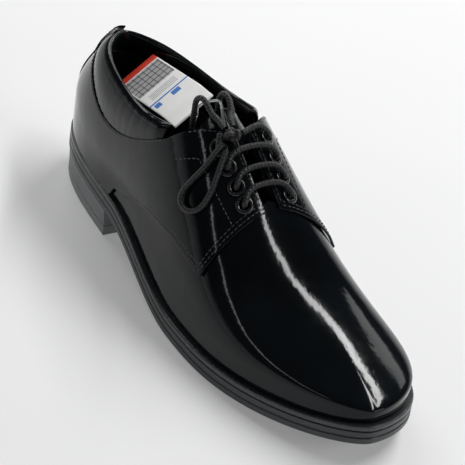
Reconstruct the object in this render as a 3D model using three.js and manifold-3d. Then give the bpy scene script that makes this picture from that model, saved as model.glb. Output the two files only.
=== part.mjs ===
// Lace-up derby dress shoe for the right foot, in patent leather, with its tag still tied on.
// Millimetres. +X runs from the heel to the toe, +Y to the inner (medial) side of the foot and +Z up.
// The origin is on the floor, under the middle of the shoe's outline.
//
// Places on the upper are given by three values: a station along the foot (0 at the heel, 1 at the toe),
// a side (-1 lateral, 1 medial), and a lift angle round the foot: -90 at the feather edge, where the upper
// meets the welt, 0 at the widest line and 90 on the ridge over the instep.
import * as THREE from "three";
import { mergeGeometries, mergeVertices } from "three/addons/utils/BufferGeometryUtils.js";
import Module from "manifold-3d";

// ---- Driving dimensions ----------------------------------------------------------------------------------

// The foot's outline: half widths on each side of a centre line, in nine steps from heel to toe. Each
// half width is scaled by the sine of the station, so that both ends close.
const footLength = 292;
const lateralHalfWidths = [36, 39.5, 38, 35, 41.3, 47.5, 49, 48.5, 44];
const medialHalfWidths = [32.5, 36, 37, 36, 39, 47.5, 55.8, 58, 50];
const centreLine = [-5.5, -3, 0, 3.8, 4.8, 6.3, 10.8, 10.9, 5.2];

// The ridge over the instep: its height over the floor and its sideways place, heel to toe.
const ridgeHeights = [70, 110.5, 126, 125, 103, 71, 47.5, 40, 38.5];
const ridgeOffsets = [0.9, 0.6, 0.6, 0.6, 1.5, 5.6, 8, 9.7, 11.2];
const ridgeHeelEnd = 36;
const ridgeFromToe = 40;
const ridgeToeEnd = footLength - ridgeFromToe;

// How the walls curve: how square a section is, how high its widest line lies over the feather edge,
// and how far the feather edge is tucked under that line.
const squareness = [2.23, 2.14, 1.98, 1.8, 1.84, 2.05, 2.2, 2.3, 2.3];
const wallHeights = [24, 22, 18, 14, 12, 12, 11, 8.5, 6.5];
const tuckUnder = [1.8, 0.5, 0.2, 0.2, 0.4, 0.8, 1, 1, 2.3];

// The bottom: heel lift, heel length, toe spring, and the layers of the sole.
const heelLift = 16.5;
const heelLength = 77;
const toeSpring = 14.5;
const ballFromToe = 103.5;
const ballPlace = footLength - ballFromToe;
const waistFront = 168;
const outsoleThickness = 7.6;
const weltThickness = 3.1;
const weltWidth = 12;
const soleMargin = 2.5;
const topPieceThickness = 5.5;
const insoleThickness = 2;
const sockThickness = 1.5;
const gap = 0.3;

// Leather and lining, each as the distance from the vamp's outer face to the layer's inner and outer face.
const vampLayer = [-1.3, 0];
const quarterLayer = [0.7, 1.9];
const puffLayer = [-3.1, -2.4];
const vampLiningLayer = [-5.3, -4.4];
const quarterLiningLayer = [-3.5, -2.6];
const counterLayer = [-1.1, -0.1];
const stayLayer = [-1.1, -0.1];
const tongueThickness = 1.8;
const tongueLiningThickness = 0.8;

// The topline: the height of the shoe's mouth over the floor, and of the seam under the padded collar,
// in seven steps from the back seam to the facing.
const mouthHeights = [93, 92.5, 91.5, 90.5, 88, 86.5, 95];
const collarSeamHeights = [80, 79.5, 78.5, 73, 62, 67, 88];
const collarEnd = 0.44;
const collarFront = 0.428;
const collarDepth = 14;
const collarThickness = 1;
const collarPadding = 4;

// The facings: where the flap's corners are, the ridge distance of its edge, and the eyelets in it.
const flapCorner = { station: 0.581, lift: 27 };
const flapFront = 0.601;
const facingBack = 0.452;
const facingFront = 0.503;
const facingEdge = 4;
const firstEyelet = 0.504;
const eyeletSpaces = [2.05, 1.52, 0.48];
const eyeletFromRidge = 13;
const eyeletBore = 5.6;
const eyeletWall = 0.4;
const eyeletCurl = 0.9;
const eyeletBrim = 1.5;
const eyeletBarrel = eyeletBore + 2 * eyeletWall;
const eyeletFlange = eyeletBarrel + 2 * eyeletBrim;
const eyeletHole = eyeletBarrel + 2 * gap;

// Where the other parts of the upper begin and end, as stations along the foot.
const puffBack = 0.78;
const vampLiningBack = 0.62;
const quarterLiningFront = 0.597;
const liningDrop = 2;
const counterFront = 0.3;
const stripFront = 0.06;
const stayBack = 0.47;
const stayFront = 0.583;
const stayWidth = 16;
const tongueBack = 0.443;
const tongueFront = 0.615;
const tongueBackHalfWidth = 27;
const tongueFrontHalfWidth = 19;

// Lace, knot, bow loop and ends.
const laceWidth = 3.2;
const laceStraight = laceWidth / 2 - 0.7;
const tipWidth = 2.8;
const tipLength = 20;
const knotSize = [8, 10, 6.5];

// The folded hang tag and its fastener.
const tagLength = 72;
const tagWidth = 26;
const tagThickness = 1.2;
const tagDroop = 3;
const tagFoldLength = 14;
const tagStringWidth = 1.4;

// Heel nails and the steel shank.
const nailWidth = 2.6;
const nailClearance = 0.3;
const nailLength = 17;
const shankWidth = 14;
const shankThickness = 1.4;
const shankBack = 52;
const shankFront = 160;

// ---- Materials -------------------------------------------------------------------------------------------

const finish = (color, roughness, metalness = 0) =>
  new THREE.MeshStandardMaterial({ color, roughness, metalness });
const patent = () => finish(0x0b0b0d, 0.08);
const softPatent = () => finish(0x101012, 0.2);
const liningLeather = () => finish(0x1a191a, 0.6);
const soleRubber = () => finish(0x1e1e20, 0.5);
const heelRubber = () => finish(0x3a3a3c, 0.55);
const stiffener = () => finish(0x9a8a70, 0.8);
const board = () => finish(0xb09468, 0.85);
const cork = () => finish(0x9c6b3e, 0.9);
const foam = () => finish(0xcfc9b4, 0.95);
const steel = () => finish(0x9fa3a8, 0.35, 1);
const blackEnamel = () => finish(0x141416, 0.3, 0.4);
const cotton = () => finish(0x0f0f11, 0.9);
const hardPlastic = () => finish(0x1a1a1c, 0.3);
const card = () => finish(0xf2f1ec, 0.5);
const clearPlastic = () => finish(0xd8dcdc, 0.2);

const shoe = new THREE.Group();
const cordPieces = new Set();

// Adds one piece to the shoe under its own name.
function add(name, geometry, material) {
  const piece = new THREE.Mesh(geometry, material);
  piece.name = name;
  shoe.add(piece);
  return piece;
}

// ---- The last: the shape of the foot that every piece follows ---------------------------------------------

const degrees = THREE.MathUtils.degToRad;
const { clamp, lerp, smoothstep } = THREE.MathUtils;

// A smooth value through evenly spaced steps; place runs from 0 to 1.
function smooth(steps, place) {
  const last = steps.length - 1;
  const before = 2 * steps[0] - steps[1];
  const after = 2 * steps[last] - steps[last - 1];
  const padded = [before, ...steps, after];
  const along = clamp(place, 0, 1) * last;
  const i = Math.min(Math.floor(along), last - 1);
  const f = along - i;
  const [a, b, c, d] = padded.slice(i, i + 4);
  const near = (3 * f ** 3 - 6 * f ** 2 + 4) * b + (-3 * f ** 3 + 3 * f ** 2 + 3 * f + 1) * c;
  return ((1 - f) ** 3 * a + near + f ** 3 * d) / 6;
}

// Straight lines between [place, value] pairs.
function follow(pairs, place) {
  const next = pairs.findIndex((pair) => pair[0] > place);
  if (next === 0) return pairs[0][1];
  if (next < 0) return pairs.at(-1)[1];
  const [from, to] = [pairs[next - 1], pairs[next]];
  return lerp(from[1], to[1], (place - from[0]) / (to[0] - from[0]));
}

// Underside of the outsole over the floor, at a distance x from the heel end of the foot.
function soleUnderside(x) {
  const spring = toeSpring * (Math.max(0, x - ballPlace) / (footLength - ballPlace)) ** 2;
  return spring + heelLift * (1 - smoothstep(x, heelLength + 4, waistFront));
}

const featherHeight = (x) => soleUnderside(x) + outsoleThickness + weltThickness + 2 * gap;

const stationAt = (x) => Math.acos(1 - (2 * x) / footLength) / Math.PI;

// Each eyelet is a flange and a space in front of the one before it.
const eyeletStations = [firstEyelet];
for (const space of eyeletSpaces) {
  const last = (footLength / 2) * (1 - Math.cos(Math.PI * eyeletStations.at(-1)));
  eyeletStations.push(stationAt(last + eyeletFlange + space));
}

// The foot's outline at a station, and the ridge point it is measured from.
function outline(station, side) {
  const turn = Math.PI * clamp(station, 0, 1);
  const x = (footLength / 2) * (1 - Math.cos(turn));
  const half = smooth(side < 0 ? lateralHalfWidths : medialHalfWidths, station) * Math.sin(turn);
  const ridgeX = ridgeHeelEnd + (x * (ridgeToeEnd - ridgeHeelEnd)) / footLength;
  const rim = new THREE.Vector2(x, smooth(centreLine, station) + side * half);
  const ridge = new THREE.Vector2(ridgeX, smooth(ridgeOffsets, ridgeX / footLength));
  const reach = rim.distanceTo(ridge);
  const outward = rim.clone().sub(ridge).divideScalar(reach);
  return { rim, ridge, reach, outward };
}

// A point on the outline moved inwards, or outwards where inset is negative.
function rimPoint(station, side, inset) {
  const { rim, outward } = outline(station, side);
  return rim.clone().addScaledVector(outward, -inset);
}

// A point on the upper, lift in degrees, moved outwards from the vamp's outer face by out.
function upper(station, side, lift, out) {
  const { ridge, reach, outward } = outline(station, side);
  const angle = degrees(lift);
  const c = Math.max(0, Math.cos(angle));
  const s = Math.sin(angle);
  const square = smooth(squareness, station);
  const wall = smooth(wallHeights, station);
  const above = lift > 0;
  const span = above ? reach * c ** (2 / square) : reach - smooth(tuckUnder, station) * (1 - c);
  const base = ridge.clone().addScaledVector(outward, span);
  const seat = featherHeight(base.x);
  const crown = smooth(ridgeHeights, base.x / footLength) - seat - wall;
  const height = seat + wall + (above ? crown * s ** (2 / square) : wall * s);
  const facing = new THREE.Vector2(1, 0);
  if (above) facing.set(c ** (2 - 2 / square) / reach, s ** (2 - 2 / square) / crown).normalize();
  base.addScaledVector(outward, facing.x * out);
  return new THREE.Vector3(base.x, base.y, height + facing.y * out);
}

// The lift angle at which the upper reaches a height over the floor.
function liftAtHeight(station, side, height) {
  let low = -90;
  let high = 90;
  for (let i = 0; i < 24; i++) {
    const middle = (low + high) / 2;
    if (upper(station, side, middle, 0).z < height) low = middle;
    else high = middle;
  }
  return low;
}

// The lift angle at a sideways distance from the ridge.
function liftAtRidge(station, side, distance) {
  const { reach } = outline(station, side);
  const square = smooth(squareness, station);
  return THREE.MathUtils.radToDeg(Math.acos((distance / reach) ** (square / 2)));
}

// A point across the instep, from lateral (negative) to medial (positive) distances from the ridge.
function instep(station, across, out) {
  const side = across < 0 ? -1 : 1;
  return upper(station, side, liftAtRidge(station, side, Math.abs(across)), out);
}

// ---- Ways to make a closed piece --------------------------------------------------------------------------

// Welds a geometry, drops its flat triangles and turns its faces outwards.
function closed(geometry) {
  geometry.deleteAttribute("normal");
  geometry.deleteAttribute("uv");
  const welded = mergeVertices(geometry, 1e-3);
  const points = welded.attributes.position;
  const [a, b, c] = [new THREE.Vector3(), new THREE.Vector3(), new THREE.Vector3()];
  const kept = [];
  let volume = 0;
  for (let i = 0; i < welded.index.count; i += 3) {
    const [p, q, r] = [0, 1, 2].map((k) => welded.index.getX(i + k));
    if (p === q || q === r || r === p) continue;
    kept.push([p, q, r]);
    a.fromBufferAttribute(points, p);
    b.fromBufferAttribute(points, q);
    c.fromBufferAttribute(points, r);
    volume += a.dot(b.cross(c));
  }
  welded.setIndex(kept.flatMap(([p, q, r]) => (volume < 0 ? [p, r, q] : [p, q, r])));
  welded.computeVertexNormals();
  return welded;
}

function moved(geometry, place) {
  const points = geometry.attributes.position;
  for (let i = 0; i < points.count; i++) {
    const point = place(points.getX(i), points.getY(i), points.getZ(i));
    points.setXYZ(i, point.x, point.y, point.z);
  }
  return geometry;
}

// A box bent onto place(u, v, w), each from 0 to 1: u and v run over its face and w through its thickness.
function panel(alongSteps, upSteps, place) {
  const box = new THREE.BoxGeometry(1, 1, 1, alongSteps, upSteps, 1);
  return closed(moved(box, (x, y, z) => place(x + 0.5, y + 0.5, z + 0.5)));
}

// A leather shell made of a lateral and a medial sheet that join along the ridge and down the toe.
// start(side, v) is the station where the sheet begins; liftRange is what v covers.
function toeShell(alongSteps, upSteps, layer, start, liftRange) {
  const face = (out) => {
    const sheets = [-1, 1].map((side) => {
      const sheet = new THREE.PlaneGeometry(1, 1, alongSteps, upSteps);
      return moved(sheet, (x, y) => {
        const u = side < 0 ? x + 0.5 : 0.5 - x;
        const lift = lerp(liftRange[0], liftRange[1], y + 0.5);
        const from = start(lift);
        return upper(lerp(from, 1, u), side, lift, out);
      });
    });
    const both = mergeGeometries(sheets);
    both.deleteAttribute("normal");
    both.deleteAttribute("uv");
    return mergeVertices(both, 1e-3);
  };
  const outer = face(layer[1]);
  const inner = face(layer[0]);
  const count = outer.attributes.position.count;
  const triangles = [...outer.index.array];
  const edges = new Map();
  for (let i = 0; i < triangles.length; i += 3)
    for (let k = 0; k < 3; k++) {
      const [p, q] = [triangles[i + k], triangles[i + ((k + 1) % 3)]];
      if (edges.has(q + "," + p)) edges.delete(q + "," + p);
      else edges.set(p + "," + q, [p, q]);
    }
  const index = [...triangles];
  for (let i = 0; i < triangles.length; i += 3)
    index.push(triangles[i] + count, triangles[i + 2] + count, triangles[i + 1] + count);
  for (const [p, q] of edges.values()) index.push(q, p, p + count, q, p + count, q + count);
  const positions = [...outer.attributes.position.array, ...inner.attributes.position.array];
  const shell = new THREE.BufferGeometry();
  shell.setAttribute("position", new THREE.Float32BufferAttribute(positions, 3));
  shell.setIndex(index);
  return closed(shell);
}

// A slab of the sole between two stations, inset from the outline, from low(x) to high(x) over the floor.
function slab(steps, from, to, inset, low, high, acrossSteps = 2) {
  return panel(steps, acrossSteps, (u, v, w) => {
    const station = lerp(from, to, u);
    const edges = [-1, 1].map((side) => rimPoint(station, side, inset(w)));
    const point = edges[0].lerp(edges[1], v);
    return new THREE.Vector3(point.x, point.y, w ? high(point.x) : low(point.x));
  });
}

// A round tube through hand-placed points.
function tube(points, width, steps, sides = 8) {
  const corners = Array.from({ length: sides }, (_, i) => {
    const turn = (2 * Math.PI * i) / sides;
    return new THREE.Vector2((Math.cos(turn) * width) / 2, (Math.sin(turn) * width) / 2);
  });
  const path = new THREE.CatmullRomCurve3(points, false, "centripetal");
  path.arcLengthDivisions = 400;
  return closed(
    new THREE.ExtrudeGeometry(new THREE.Shape(corners), { steps, extrudePath: path, bevelEnabled: false }),
  );
}

// A turned piece from a closed [radius, height] profile, its axis along +Z.
function turned(profile, sides) {
  const points = [...profile, profile[0]].map(([radius, height]) => new THREE.Vector2(radius, height));
  return closed(new THREE.LatheGeometry(points, sides).rotateX(Math.PI / 2));
}

const wasm = await Module();
wasm.setup();

// The same geometry as a manifold-3d solid, in the shoe's own frame.
function solidOf(geometry) {
  const bare = new THREE.BufferGeometry();
  bare.setAttribute("position", geometry.attributes.position);
  bare.setIndex(geometry.index);
  const vertProperties = new Float32Array(bare.attributes.position.array);
  const triVerts = new Uint32Array(bare.index.array);
  return new wasm.Manifold(new wasm.Mesh({ numProp: 3, vertProperties, triVerts }));
}

function drilled(geometry, cutters) {
  let solid = solidOf(geometry);
  for (const cutter of cutters) solid = solid.subtract(solidOf(cutter));
  const mesh = solid.getMesh();
  const result = new THREE.BufferGeometry();
  result.setAttribute("position", new THREE.BufferAttribute(mesh.vertProperties, 3));
  result.setIndex(new THREE.BufferAttribute(mesh.triVerts, 1));
  result.computeVertexNormals();
  return result;
}

// ---- Bottom: heel, outsole, welt, shank, filler, insole ---------------------------------------------------

const tip = 0.02;
const heelStation = stationAt(heelLength);
const soleOutline = () => -soleMargin;

// The nails stand in the heel seat on a small oval.
const nailPlaces = [
  [14, -2],
  [30, -20],
  [30, 16],
  [54, -20],
  [54, 18],
];
const nailFoot = heelLift + outsoleThickness - nailLength;
const nailHoles = nailPlaces.map(([x, y]) => {
  const hole = new THREE.CylinderGeometry(nailWidth / 2 + nailClearance, nailWidth / 2 + nailClearance, 40, 12);
  return closed(hole.rotateX(Math.PI / 2).translate(x, y, nailFoot - gap + 20));
});

add(
  "heel_top_piece",
  slab(14, tip, heelStation, () => -soleMargin + 1.5, () => 0, () => topPieceThickness),
  heelRubber(),
);
add(
  "heel_block",
  drilled(
    slab(
      14,
      tip,
      heelStation,
      (w) => -soleMargin + 1.5 - w,
      () => topPieceThickness + gap,
      () => heelLift - gap,
    ),
    nailHoles,
  ),
  heelRubber(),
);
add(
  "outsole",
  drilled(
    slab(32, tip, 1 - tip, soleOutline, soleUnderside, (x) => soleUnderside(x) + outsoleThickness, 3),
    nailHoles,
  ),
  soleRubber(),
);
nailPlaces.forEach(([x, y], i) => {
  const nail = new THREE.CylinderGeometry(nailWidth / 2, nailWidth / 2, nailLength, 12);
  nail.rotateX(Math.PI / 2).translate(x, y, nailFoot + nailLength / 2);
  add("heel_nail_" + (i + 1), closed(nail), steel());
});

// The welt is a ring: the corners of a square tube are sent to its outer and inner, low and high edges.
const weltRing = new THREE.TorusGeometry(2, 1, 4, 72);
add(
  "welt",
  closed(
    moved(weltRing, (x, y, z) => {
      const radial = Math.hypot(x, y) - 2;
      const around = Math.atan2(y, x);
      const outer = radial + z > 0;
      const top = z - radial > 0;
      const inset = outer ? -soleMargin : weltWidth - soleMargin;
      const point = rimPoint(1 - Math.abs(around) / Math.PI, around < 0 ? -1 : 1, inset);
      const low = soleUnderside(point.x) + outsoleThickness + gap;
      return new THREE.Vector3(point.x, point.y, top ? low + weltThickness : low);
    }),
  ),
  soleRubber(),
);

const insideWelt = weltWidth - soleMargin + gap;
const fillerLow = (x) => soleUnderside(x) + outsoleThickness + gap;
const fillerHigh = (x) => fillerLow(x) + weltThickness - gap;
const fillerFront = 0.955;
add(
  "cork_filler",
  slab(20, stationAt(shankFront + 4), fillerFront, () => insideWelt, fillerLow, fillerHigh),
  cork(),
);
add(
  "shank",
  panel(16, 1, (u, v, w) => {
    const x = lerp(shankBack, shankFront, u);
    const y = smooth(centreLine, stationAt(x)) + lerp(-shankWidth / 2, shankWidth / 2, v);
    return new THREE.Vector3(x, y, fillerLow(x) + gap + w * shankThickness);
  }),
  steel(),
);

const liningInset = Math.max(...tuckUnder) - vampLiningLayer[0] + gap;
add(
  "insole_board",
  slab(30, tip, 1 - tip, () => liningInset, featherHeight, (x) => featherHeight(x) + insoleThickness),
  board(),
);
const sockLow = (x) => featherHeight(x) + insoleThickness + gap;
add(
  "sock_liner",
  slab(30, tip, 1 - tip, () => liningInset + gap, sockLow, (x) => sockLow(x) + sockThickness),
  liningLeather(),
);

// ---- Upper: vamp, toe puff and vamp lining ----------------------------------------------------------------

// The seam where the quarter's front edge runs from the welt up to the flap corner, as lift over station.
const seamLifts = [
  [0.345, -90],
  [0.36, -29],
  [0.401, 2],
  [0.455, 13],
  [0.517, 22],
  [flapCorner.station, flapCorner.lift],
];

// Where the vamp begins under the quarters, as station over lift: one lap behind the seam.
const vampStart = [
  [-90, 0.33],
  [-20, 0.34],
  [12, 0.4],
  [23, 0.455],
  [32, 0.517],
  [40, 0.55],
  [52, 0.588],
  [90, 0.59],
];
add("vamp", toeShell(17, 14, vampLayer, (lift) => follow(vampStart, lift), [-90, 90]), patent());
add("toe_puff", toeShell(6, 10, puffLayer, () => puffBack, [-84, 90]), stiffener());
add("vamp_lining", toeShell(10, 12, vampLiningLayer, () => vampLiningBack, [-90, 90]), liningLeather());

// ---- Upper: quarters, stays, linings, counter and back strip ----------------------------------------------

const mouthHeight = (station) => smooth(mouthHeights, station / collarEnd);
const collarSeam = (station) => smooth(collarSeamHeights, station / collarEnd);

// The top edge of a quarter: under the collar, up the back of the facing and along the lace opening.
function quarterTop(station, side) {
  if (station <= collarEnd) return liftAtHeight(station, side, collarSeam(station) - gap);
  const opening = liftAtRidge(station, side, facingEdge);
  if (station >= facingFront) return opening;
  const start = liftAtHeight(collarEnd, side, collarSeam(collarEnd) - gap);
  const corner = liftAtHeight(facingBack, side, mouthHeights.at(-1) - 1);
  const rise = [
    [collarEnd, start],
    [facingBack, corner],
    [facingFront, opening],
  ];
  return follow(rise, station);
}

const seamLift = (station) => (station < seamLifts[0][0] ? -90 : follow(seamLifts, station));

function quarterPoint(side, layer) {
  return (u, v, w) => {
    const foot = u * flapCorner.station;
    const head = u * flapFront;
    const lift = lerp(seamLift(foot), quarterTop(head, side), v);
    return upper(lerp(foot, head, v), side, lift, lerp(layer[0], layer[1], w));
  };
}

// The row of eyelets on one side: the middle of each and the direction it faces.
function eyelets(side) {
  return eyeletStations.map((station) => {
    const across = side * eyeletFromRidge;
    const middle = instep(station, across, 0);
    const forward = instep(station + 0.01, across, 0).sub(middle);
    const inward = instep(station, across + 2, 0).sub(middle);
    return { middle, facing: forward.cross(inward).normalize() };
  });
}

function standing(geometry, { middle, facing }) {
  const turn = new THREE.Quaternion().setFromUnitVectors(new THREE.Vector3(0, 0, 1), facing);
  return geometry.applyQuaternion(turn).translate(middle.x, middle.y, middle.z);
}

const sideNames = new Map([
  [-1, "lateral"],
  [1, "medial"],
]);
const seatClearance = 0.004;
for (const [side, name] of sideNames) {
  const holes = eyelets(side).map((eyelet) => {
    const drill = new THREE.CylinderGeometry(eyeletHole / 2, eyeletHole / 2, 12, 8).rotateX(Math.PI / 2);
    return closed(standing(drill, eyelet));
  });
  const backSeam = (u) => lerp(seatClearance, 1, u);
  const outerPoint = quarterPoint(side, quarterLayer);
  const quarter = panel(22, 8, (u, v, w) => outerPoint(backSeam(u), v, w));
  add("quarter_" + name, drilled(quarter, holes), patent());

  // The lining reaches from the welt to the same top edge, and forward to the throat.
  const lining = panel(24, 10, (u, v, w) => {
    const station = lerp(seatClearance, quarterLiningFront, u);
    const lift = lerp(-90, quarterTop(station, side) - liningDrop, v);
    return upper(station, side, lift, lerp(quarterLiningLayer[0], quarterLiningLayer[1], w));
  });
  add("quarter_lining_" + name, drilled(lining, holes), liningLeather());

  // The stay strengthens the facing round the eyelets, between the quarter and its lining.
  const stay = panel(4, 2, (u, v, w) => {
    const station = lerp(stayBack, stayFront, u);
    const top = liftAtRidge(station, side, facingEdge + 3);
    const high = Math.min(top, quarterTop(station, side) - 3);
    const low = liftAtRidge(station, side, facingEdge + 3 + stayWidth);
    return upper(station, side, lerp(low, high, v), lerp(stayLayer[0], stayLayer[1], w));
  });
  add("facing_stay_" + name, drilled(stay, holes), stiffener());
}

// Round the heel, u runs from the lateral front over the back seam to the medial front.
function roundHeel(reachStation, place) {
  return (u, v, w) => {
    const station = Math.abs(2 * u - 1) * reachStation;
    return place(station, u < 0.5 ? -1 : 1, v, w);
  };
}

add(
  "heel_counter",
  panel(
    18,
    5,
    roundHeel(counterFront, (station, side, v, w) => {
      const fullTop = liftAtHeight(station, side, collarSeam(station) - 6);
      const lift = lerp(-88, lerp(fullTop, 0, smoothstep(station, counterFront - 0.1, counterFront)), v);
      return upper(station, side, lift, lerp(counterLayer[0], counterLayer[1], w));
    }),
  ),
  stiffener(),
);

const stripClearance = 0.5;
const stripThickness = 0.7;
add(
  "back_strip",
  panel(
    4,
    10,
    roundHeel(stripFront, (station, side, v, w) => {
      const lift = lerp(-80, liftAtHeight(station, side, mouthHeight(station) - 3), v);
      const height = upper(station, side, lift, 0).z;
      const over = smoothstep(height, collarSeam(station) - 10, collarSeam(station) - 1);
      const inner = quarterLayer[1] + stripClearance + over * 1.6;
      return upper(station, side, lift, inner + w * stripThickness);
    }),
  ),
  patent(),
);

// ---- Padded collar ----------------------------------------------------------------------------------------

// The folded collar leather: [share of the way up from the seam to the mouth, distance out] round the fold.
const collarMiddle = (quarterLayer[1] + quarterLiningLayer[0]) / 2;
const collarFold = [
  [0, quarterLayer[1] - 0.6],
  [0.45, quarterLayer[1] + 0.7],
  [0.82, quarterLayer[1] - 0.2],
  [1, collarMiddle],
  [0.82, quarterLiningLayer[0] - 0.6],
  [0.45, quarterLiningLayer[0] - 1.7],
  [0, quarterLiningLayer[0] + 0.1],
];
const foldCurve = new THREE.SplineCurve(collarFold.map(([up, out]) => new THREE.Vector2(out, up * collarDepth)));

// A place in the collar's section: where along the fold (0 to 1) and how deep under its outer face.
function collarPoint(station, side, along, depth) {
  const at = foldCurve.getPoint(along);
  const direction = foldCurve.getTangent(along);
  const out = at.x + direction.y * -depth;
  const up = at.y / collarDepth;
  const seam = collarSeam(station);
  const height = lerp(seam, mouthHeight(station), up) - Math.max(0, -direction.x) * depth;
  return upper(station, side, liftAtHeight(station, side, height), out);
}

add(
  "collar",
  panel(
    30,
    8,
    roundHeel(collarFront, (station, side, v, w) => collarPoint(station, side, v, (1 - w) * collarThickness)),
  ),
  softPatent(),
);

add(
  "collar_foam",
  panel(
    30,
    1,
    roundHeel(collarFront - 0.01, (station, side, v, w) => {
      const seam = collarSeam(station);
      const mouth = mouthHeight(station);
      const height = lerp(seam + 1, mouth - collarPadding, v);
      const out = lerp(quarterLiningLayer[0] + 1.5, quarterLayer[1] - 1.8, w);
      return upper(station, side, liftAtHeight(station, side, height), out);
    }),
  ),
  foam(),
);

// ---- Tongue -----------------------------------------------------------------------------------------------

const curlHigh = quarterLiningLayer[0] - 3 * gap;
const curlLow = curlHigh - 0.5;
const laceUnder = curlLow - 4 * gap - laceWidth / 2;
const tongueOuter = laceUnder - laceWidth / 2 - 3 * gap;

// The tongue widens to the back and dips from the vamp lining to under the laces.
function tonguePoint(top, thickness) {
  return (u, v, w) => {
    const station = lerp(tongueBack, tongueFront, u);
    const half = lerp(tongueBackHalfWidth, tongueFrontHalfWidth, u);
    const dip = smoothstep(station, tongueFront - 0.03, tongueFront);
    const outer = lerp(tongueOuter, vampLiningLayer[0] - 2 * gap, dip) + top;
    return instep(station, lerp(-half, half, v), outer - (1 - w) * thickness);
  };
}
add("tongue", panel(12, 8, tonguePoint(0, tongueThickness)), softPatent());
add(
  "tongue_lining",
  panel(12, 8, tonguePoint(-tongueThickness - 2 * gap, tongueLiningThickness)),
  liningLeather(),
);

// ---- Eyelets ----------------------------------------------------------------------------------------------

const flangeLow = quarterLayer[1] + gap;
const flangeHigh = flangeLow + 0.6;
const eyeletProfile = [
  [eyeletBore / 2, curlLow],
  [eyeletBarrel / 2 + eyeletCurl, curlLow],
  [eyeletBarrel / 2 + eyeletCurl, curlHigh],
  [eyeletBarrel / 2, curlHigh],
  [eyeletBarrel / 2, flangeLow],
  [eyeletFlange / 2, flangeLow],
  [eyeletFlange / 2 - 0.5, flangeHigh],
  [eyeletBore / 2, flangeHigh],
];
for (const [side, name] of sideNames)
  eyelets(side).forEach((eyelet, i) => {
    const piece = closed(standing(turned(eyeletProfile, 8), eyelet));
    add("eyelet_" + name + "_" + (i + 1), piece, blackEnamel());
  });

// ---- Lace, knot, bow loop and ends ------------------------------------------------------------------------

const laceOver = flangeHigh + 4 * gap + laceWidth / 2;
const [lateralRow, medialRow] = [-1, 1].map(eyelets);
const through = ({ middle, facing }, out) => middle.clone().addScaledVector(facing, out);
const aside = (side, row, out, shift) => instep(eyeletStations[row], side * (eyeletFromRidge + shift), out);

// One straight bar across the top of a row, from one side's eyelet to the other's.
function bar(row, from) {
  const start = from < 0 ? lateralRow[row] : medialRow[row];
  const end = from < 0 ? medialRow[row] : lateralRow[row];
  const over = (share) => instep(eyeletStations[row], from * eyeletFromRidge * share, laceOver);
  const up = [curlLow - laceStraight, 0, flangeHigh + laceStraight].map((out) => through(start, out));
  const down = [flangeHigh + laceStraight, 0, curlLow - laceStraight].map((out) => through(end, out));
  return [...up, over(0.72), over(0.4), over(-0.4), over(-0.72), ...down];
}

const knotCentre = instep(0.512, -6, 7);
const sideRun = laceWidth + 2 * gap;
const lacing = [
  knotCentre.clone().add(new THREE.Vector3(-3.2, -5.4, 0)),
  through(lateralRow[0], flangeHigh + laceStraight),
  through(lateralRow[0], 0),
  through(lateralRow[0], curlLow - laceStraight),
  aside(-1, 0, laceUnder, 0.4).lerp(aside(-1, 1, laceUnder, 0.4), 0.25),
  aside(-1, 0, laceUnder, 0.4).lerp(aside(-1, 1, laceUnder, 0.4), 0.75),
  ...bar(1, -1),
  aside(1, 1, laceUnder, -0.8).lerp(aside(1, 2, laceUnder, -sideRun), 0.35),
  aside(1, 2, laceUnder, -sideRun),
  aside(1, 3, laceUnder, -1.2).lerp(aside(1, 2, laceUnder, -sideRun), 0.35),
  ...bar(3, 1),
  aside(-1, 3, laceUnder, 0.4).lerp(aside(-1, 2, laceUnder, 0.4), 0.3),
  aside(-1, 3, laceUnder, 0.4).lerp(aside(-1, 2, laceUnder, 0.4), 0.7),
  ...bar(2, -1),
  aside(1, 2, laceUnder, 1.2).lerp(aside(1, 1, laceUnder, sideRun), 0.35),
  aside(1, 1, laceUnder, sideRun),
  aside(1, 0, laceUnder, 0.8).lerp(aside(1, 1, laceUnder, sideRun), 0.35),
  through(medialRow[0], curlLow - laceStraight),
  through(medialRow[0], 0),
  through(medialRow[0], flangeHigh + laceStraight),
  instep(eyeletStations[0], 7, laceOver),
  knotCentre.clone().add(new THREE.Vector3(-1, 6.4, -0.6)),
];
add("lace", tube(lacing, laceWidth, 140, 6), cotton());

const knot = new THREE.SphereGeometry(0.5, 10, 6).rotateX(Math.PI / 2).scale(...knotSize);
add("lace_knot", closed(knot.translate(knotCentre.x, knotCentre.y, knotCentre.z)), cotton());

// Free lengths of lace, as points from the middle of the knot.
const fromKnot = (points) => points.map(([x, y, z]) => new THREE.Vector3(x, y, z).add(knotCentre));
const loopRoute = fromKnot([
  [2.4, -6.4, -2.2],
  [2.8, -10.8, -8],
  [1.9, -15.4, -16],
  [0.5, -20.6, -23.5],
  [-0.5, -23.5, -28.7],
  [0.4, -25.3, -32.6],
  [3, -25.9, -34.9],
  [6.5, -25.6, -35.7],
  [10, -24.3, -34.9],
  [12.6, -22.3, -32.6],
  [13.5, -19.9, -29.6],
  [13.2, -17.2, -25.2],
  [11.8, -14.2, -19.6],
  [10, -11.6, -14.4],
  [7.8, -8.8, -9.2],
  [5.6, -6, -4.6],
]);
const lateralEndRoute = fromKnot([
  [-4.9, -1.9, 1],
  [-8.5, -2.1, 1.8],
  [-12.5, -2.3, 2.2],
  [-15.9, -2.9, 2.7],
  [-19.3, -3.2, 4],
  [-22.3, -3.5, 5.6],
  [-25.2, -3.7, 6.3],
  [-27.7, -3.8, 5.8],
  [-29.8, -3.9, 4.4],
  [-31.2, -4, 2.3],
  [-31.7, -4, 0.4],
  [-31.7, -4, -5],
  [-31.7, -4, -12],
  [-31.7, -4, -19],
  [-31.7, -4, -26],
]);
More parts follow.
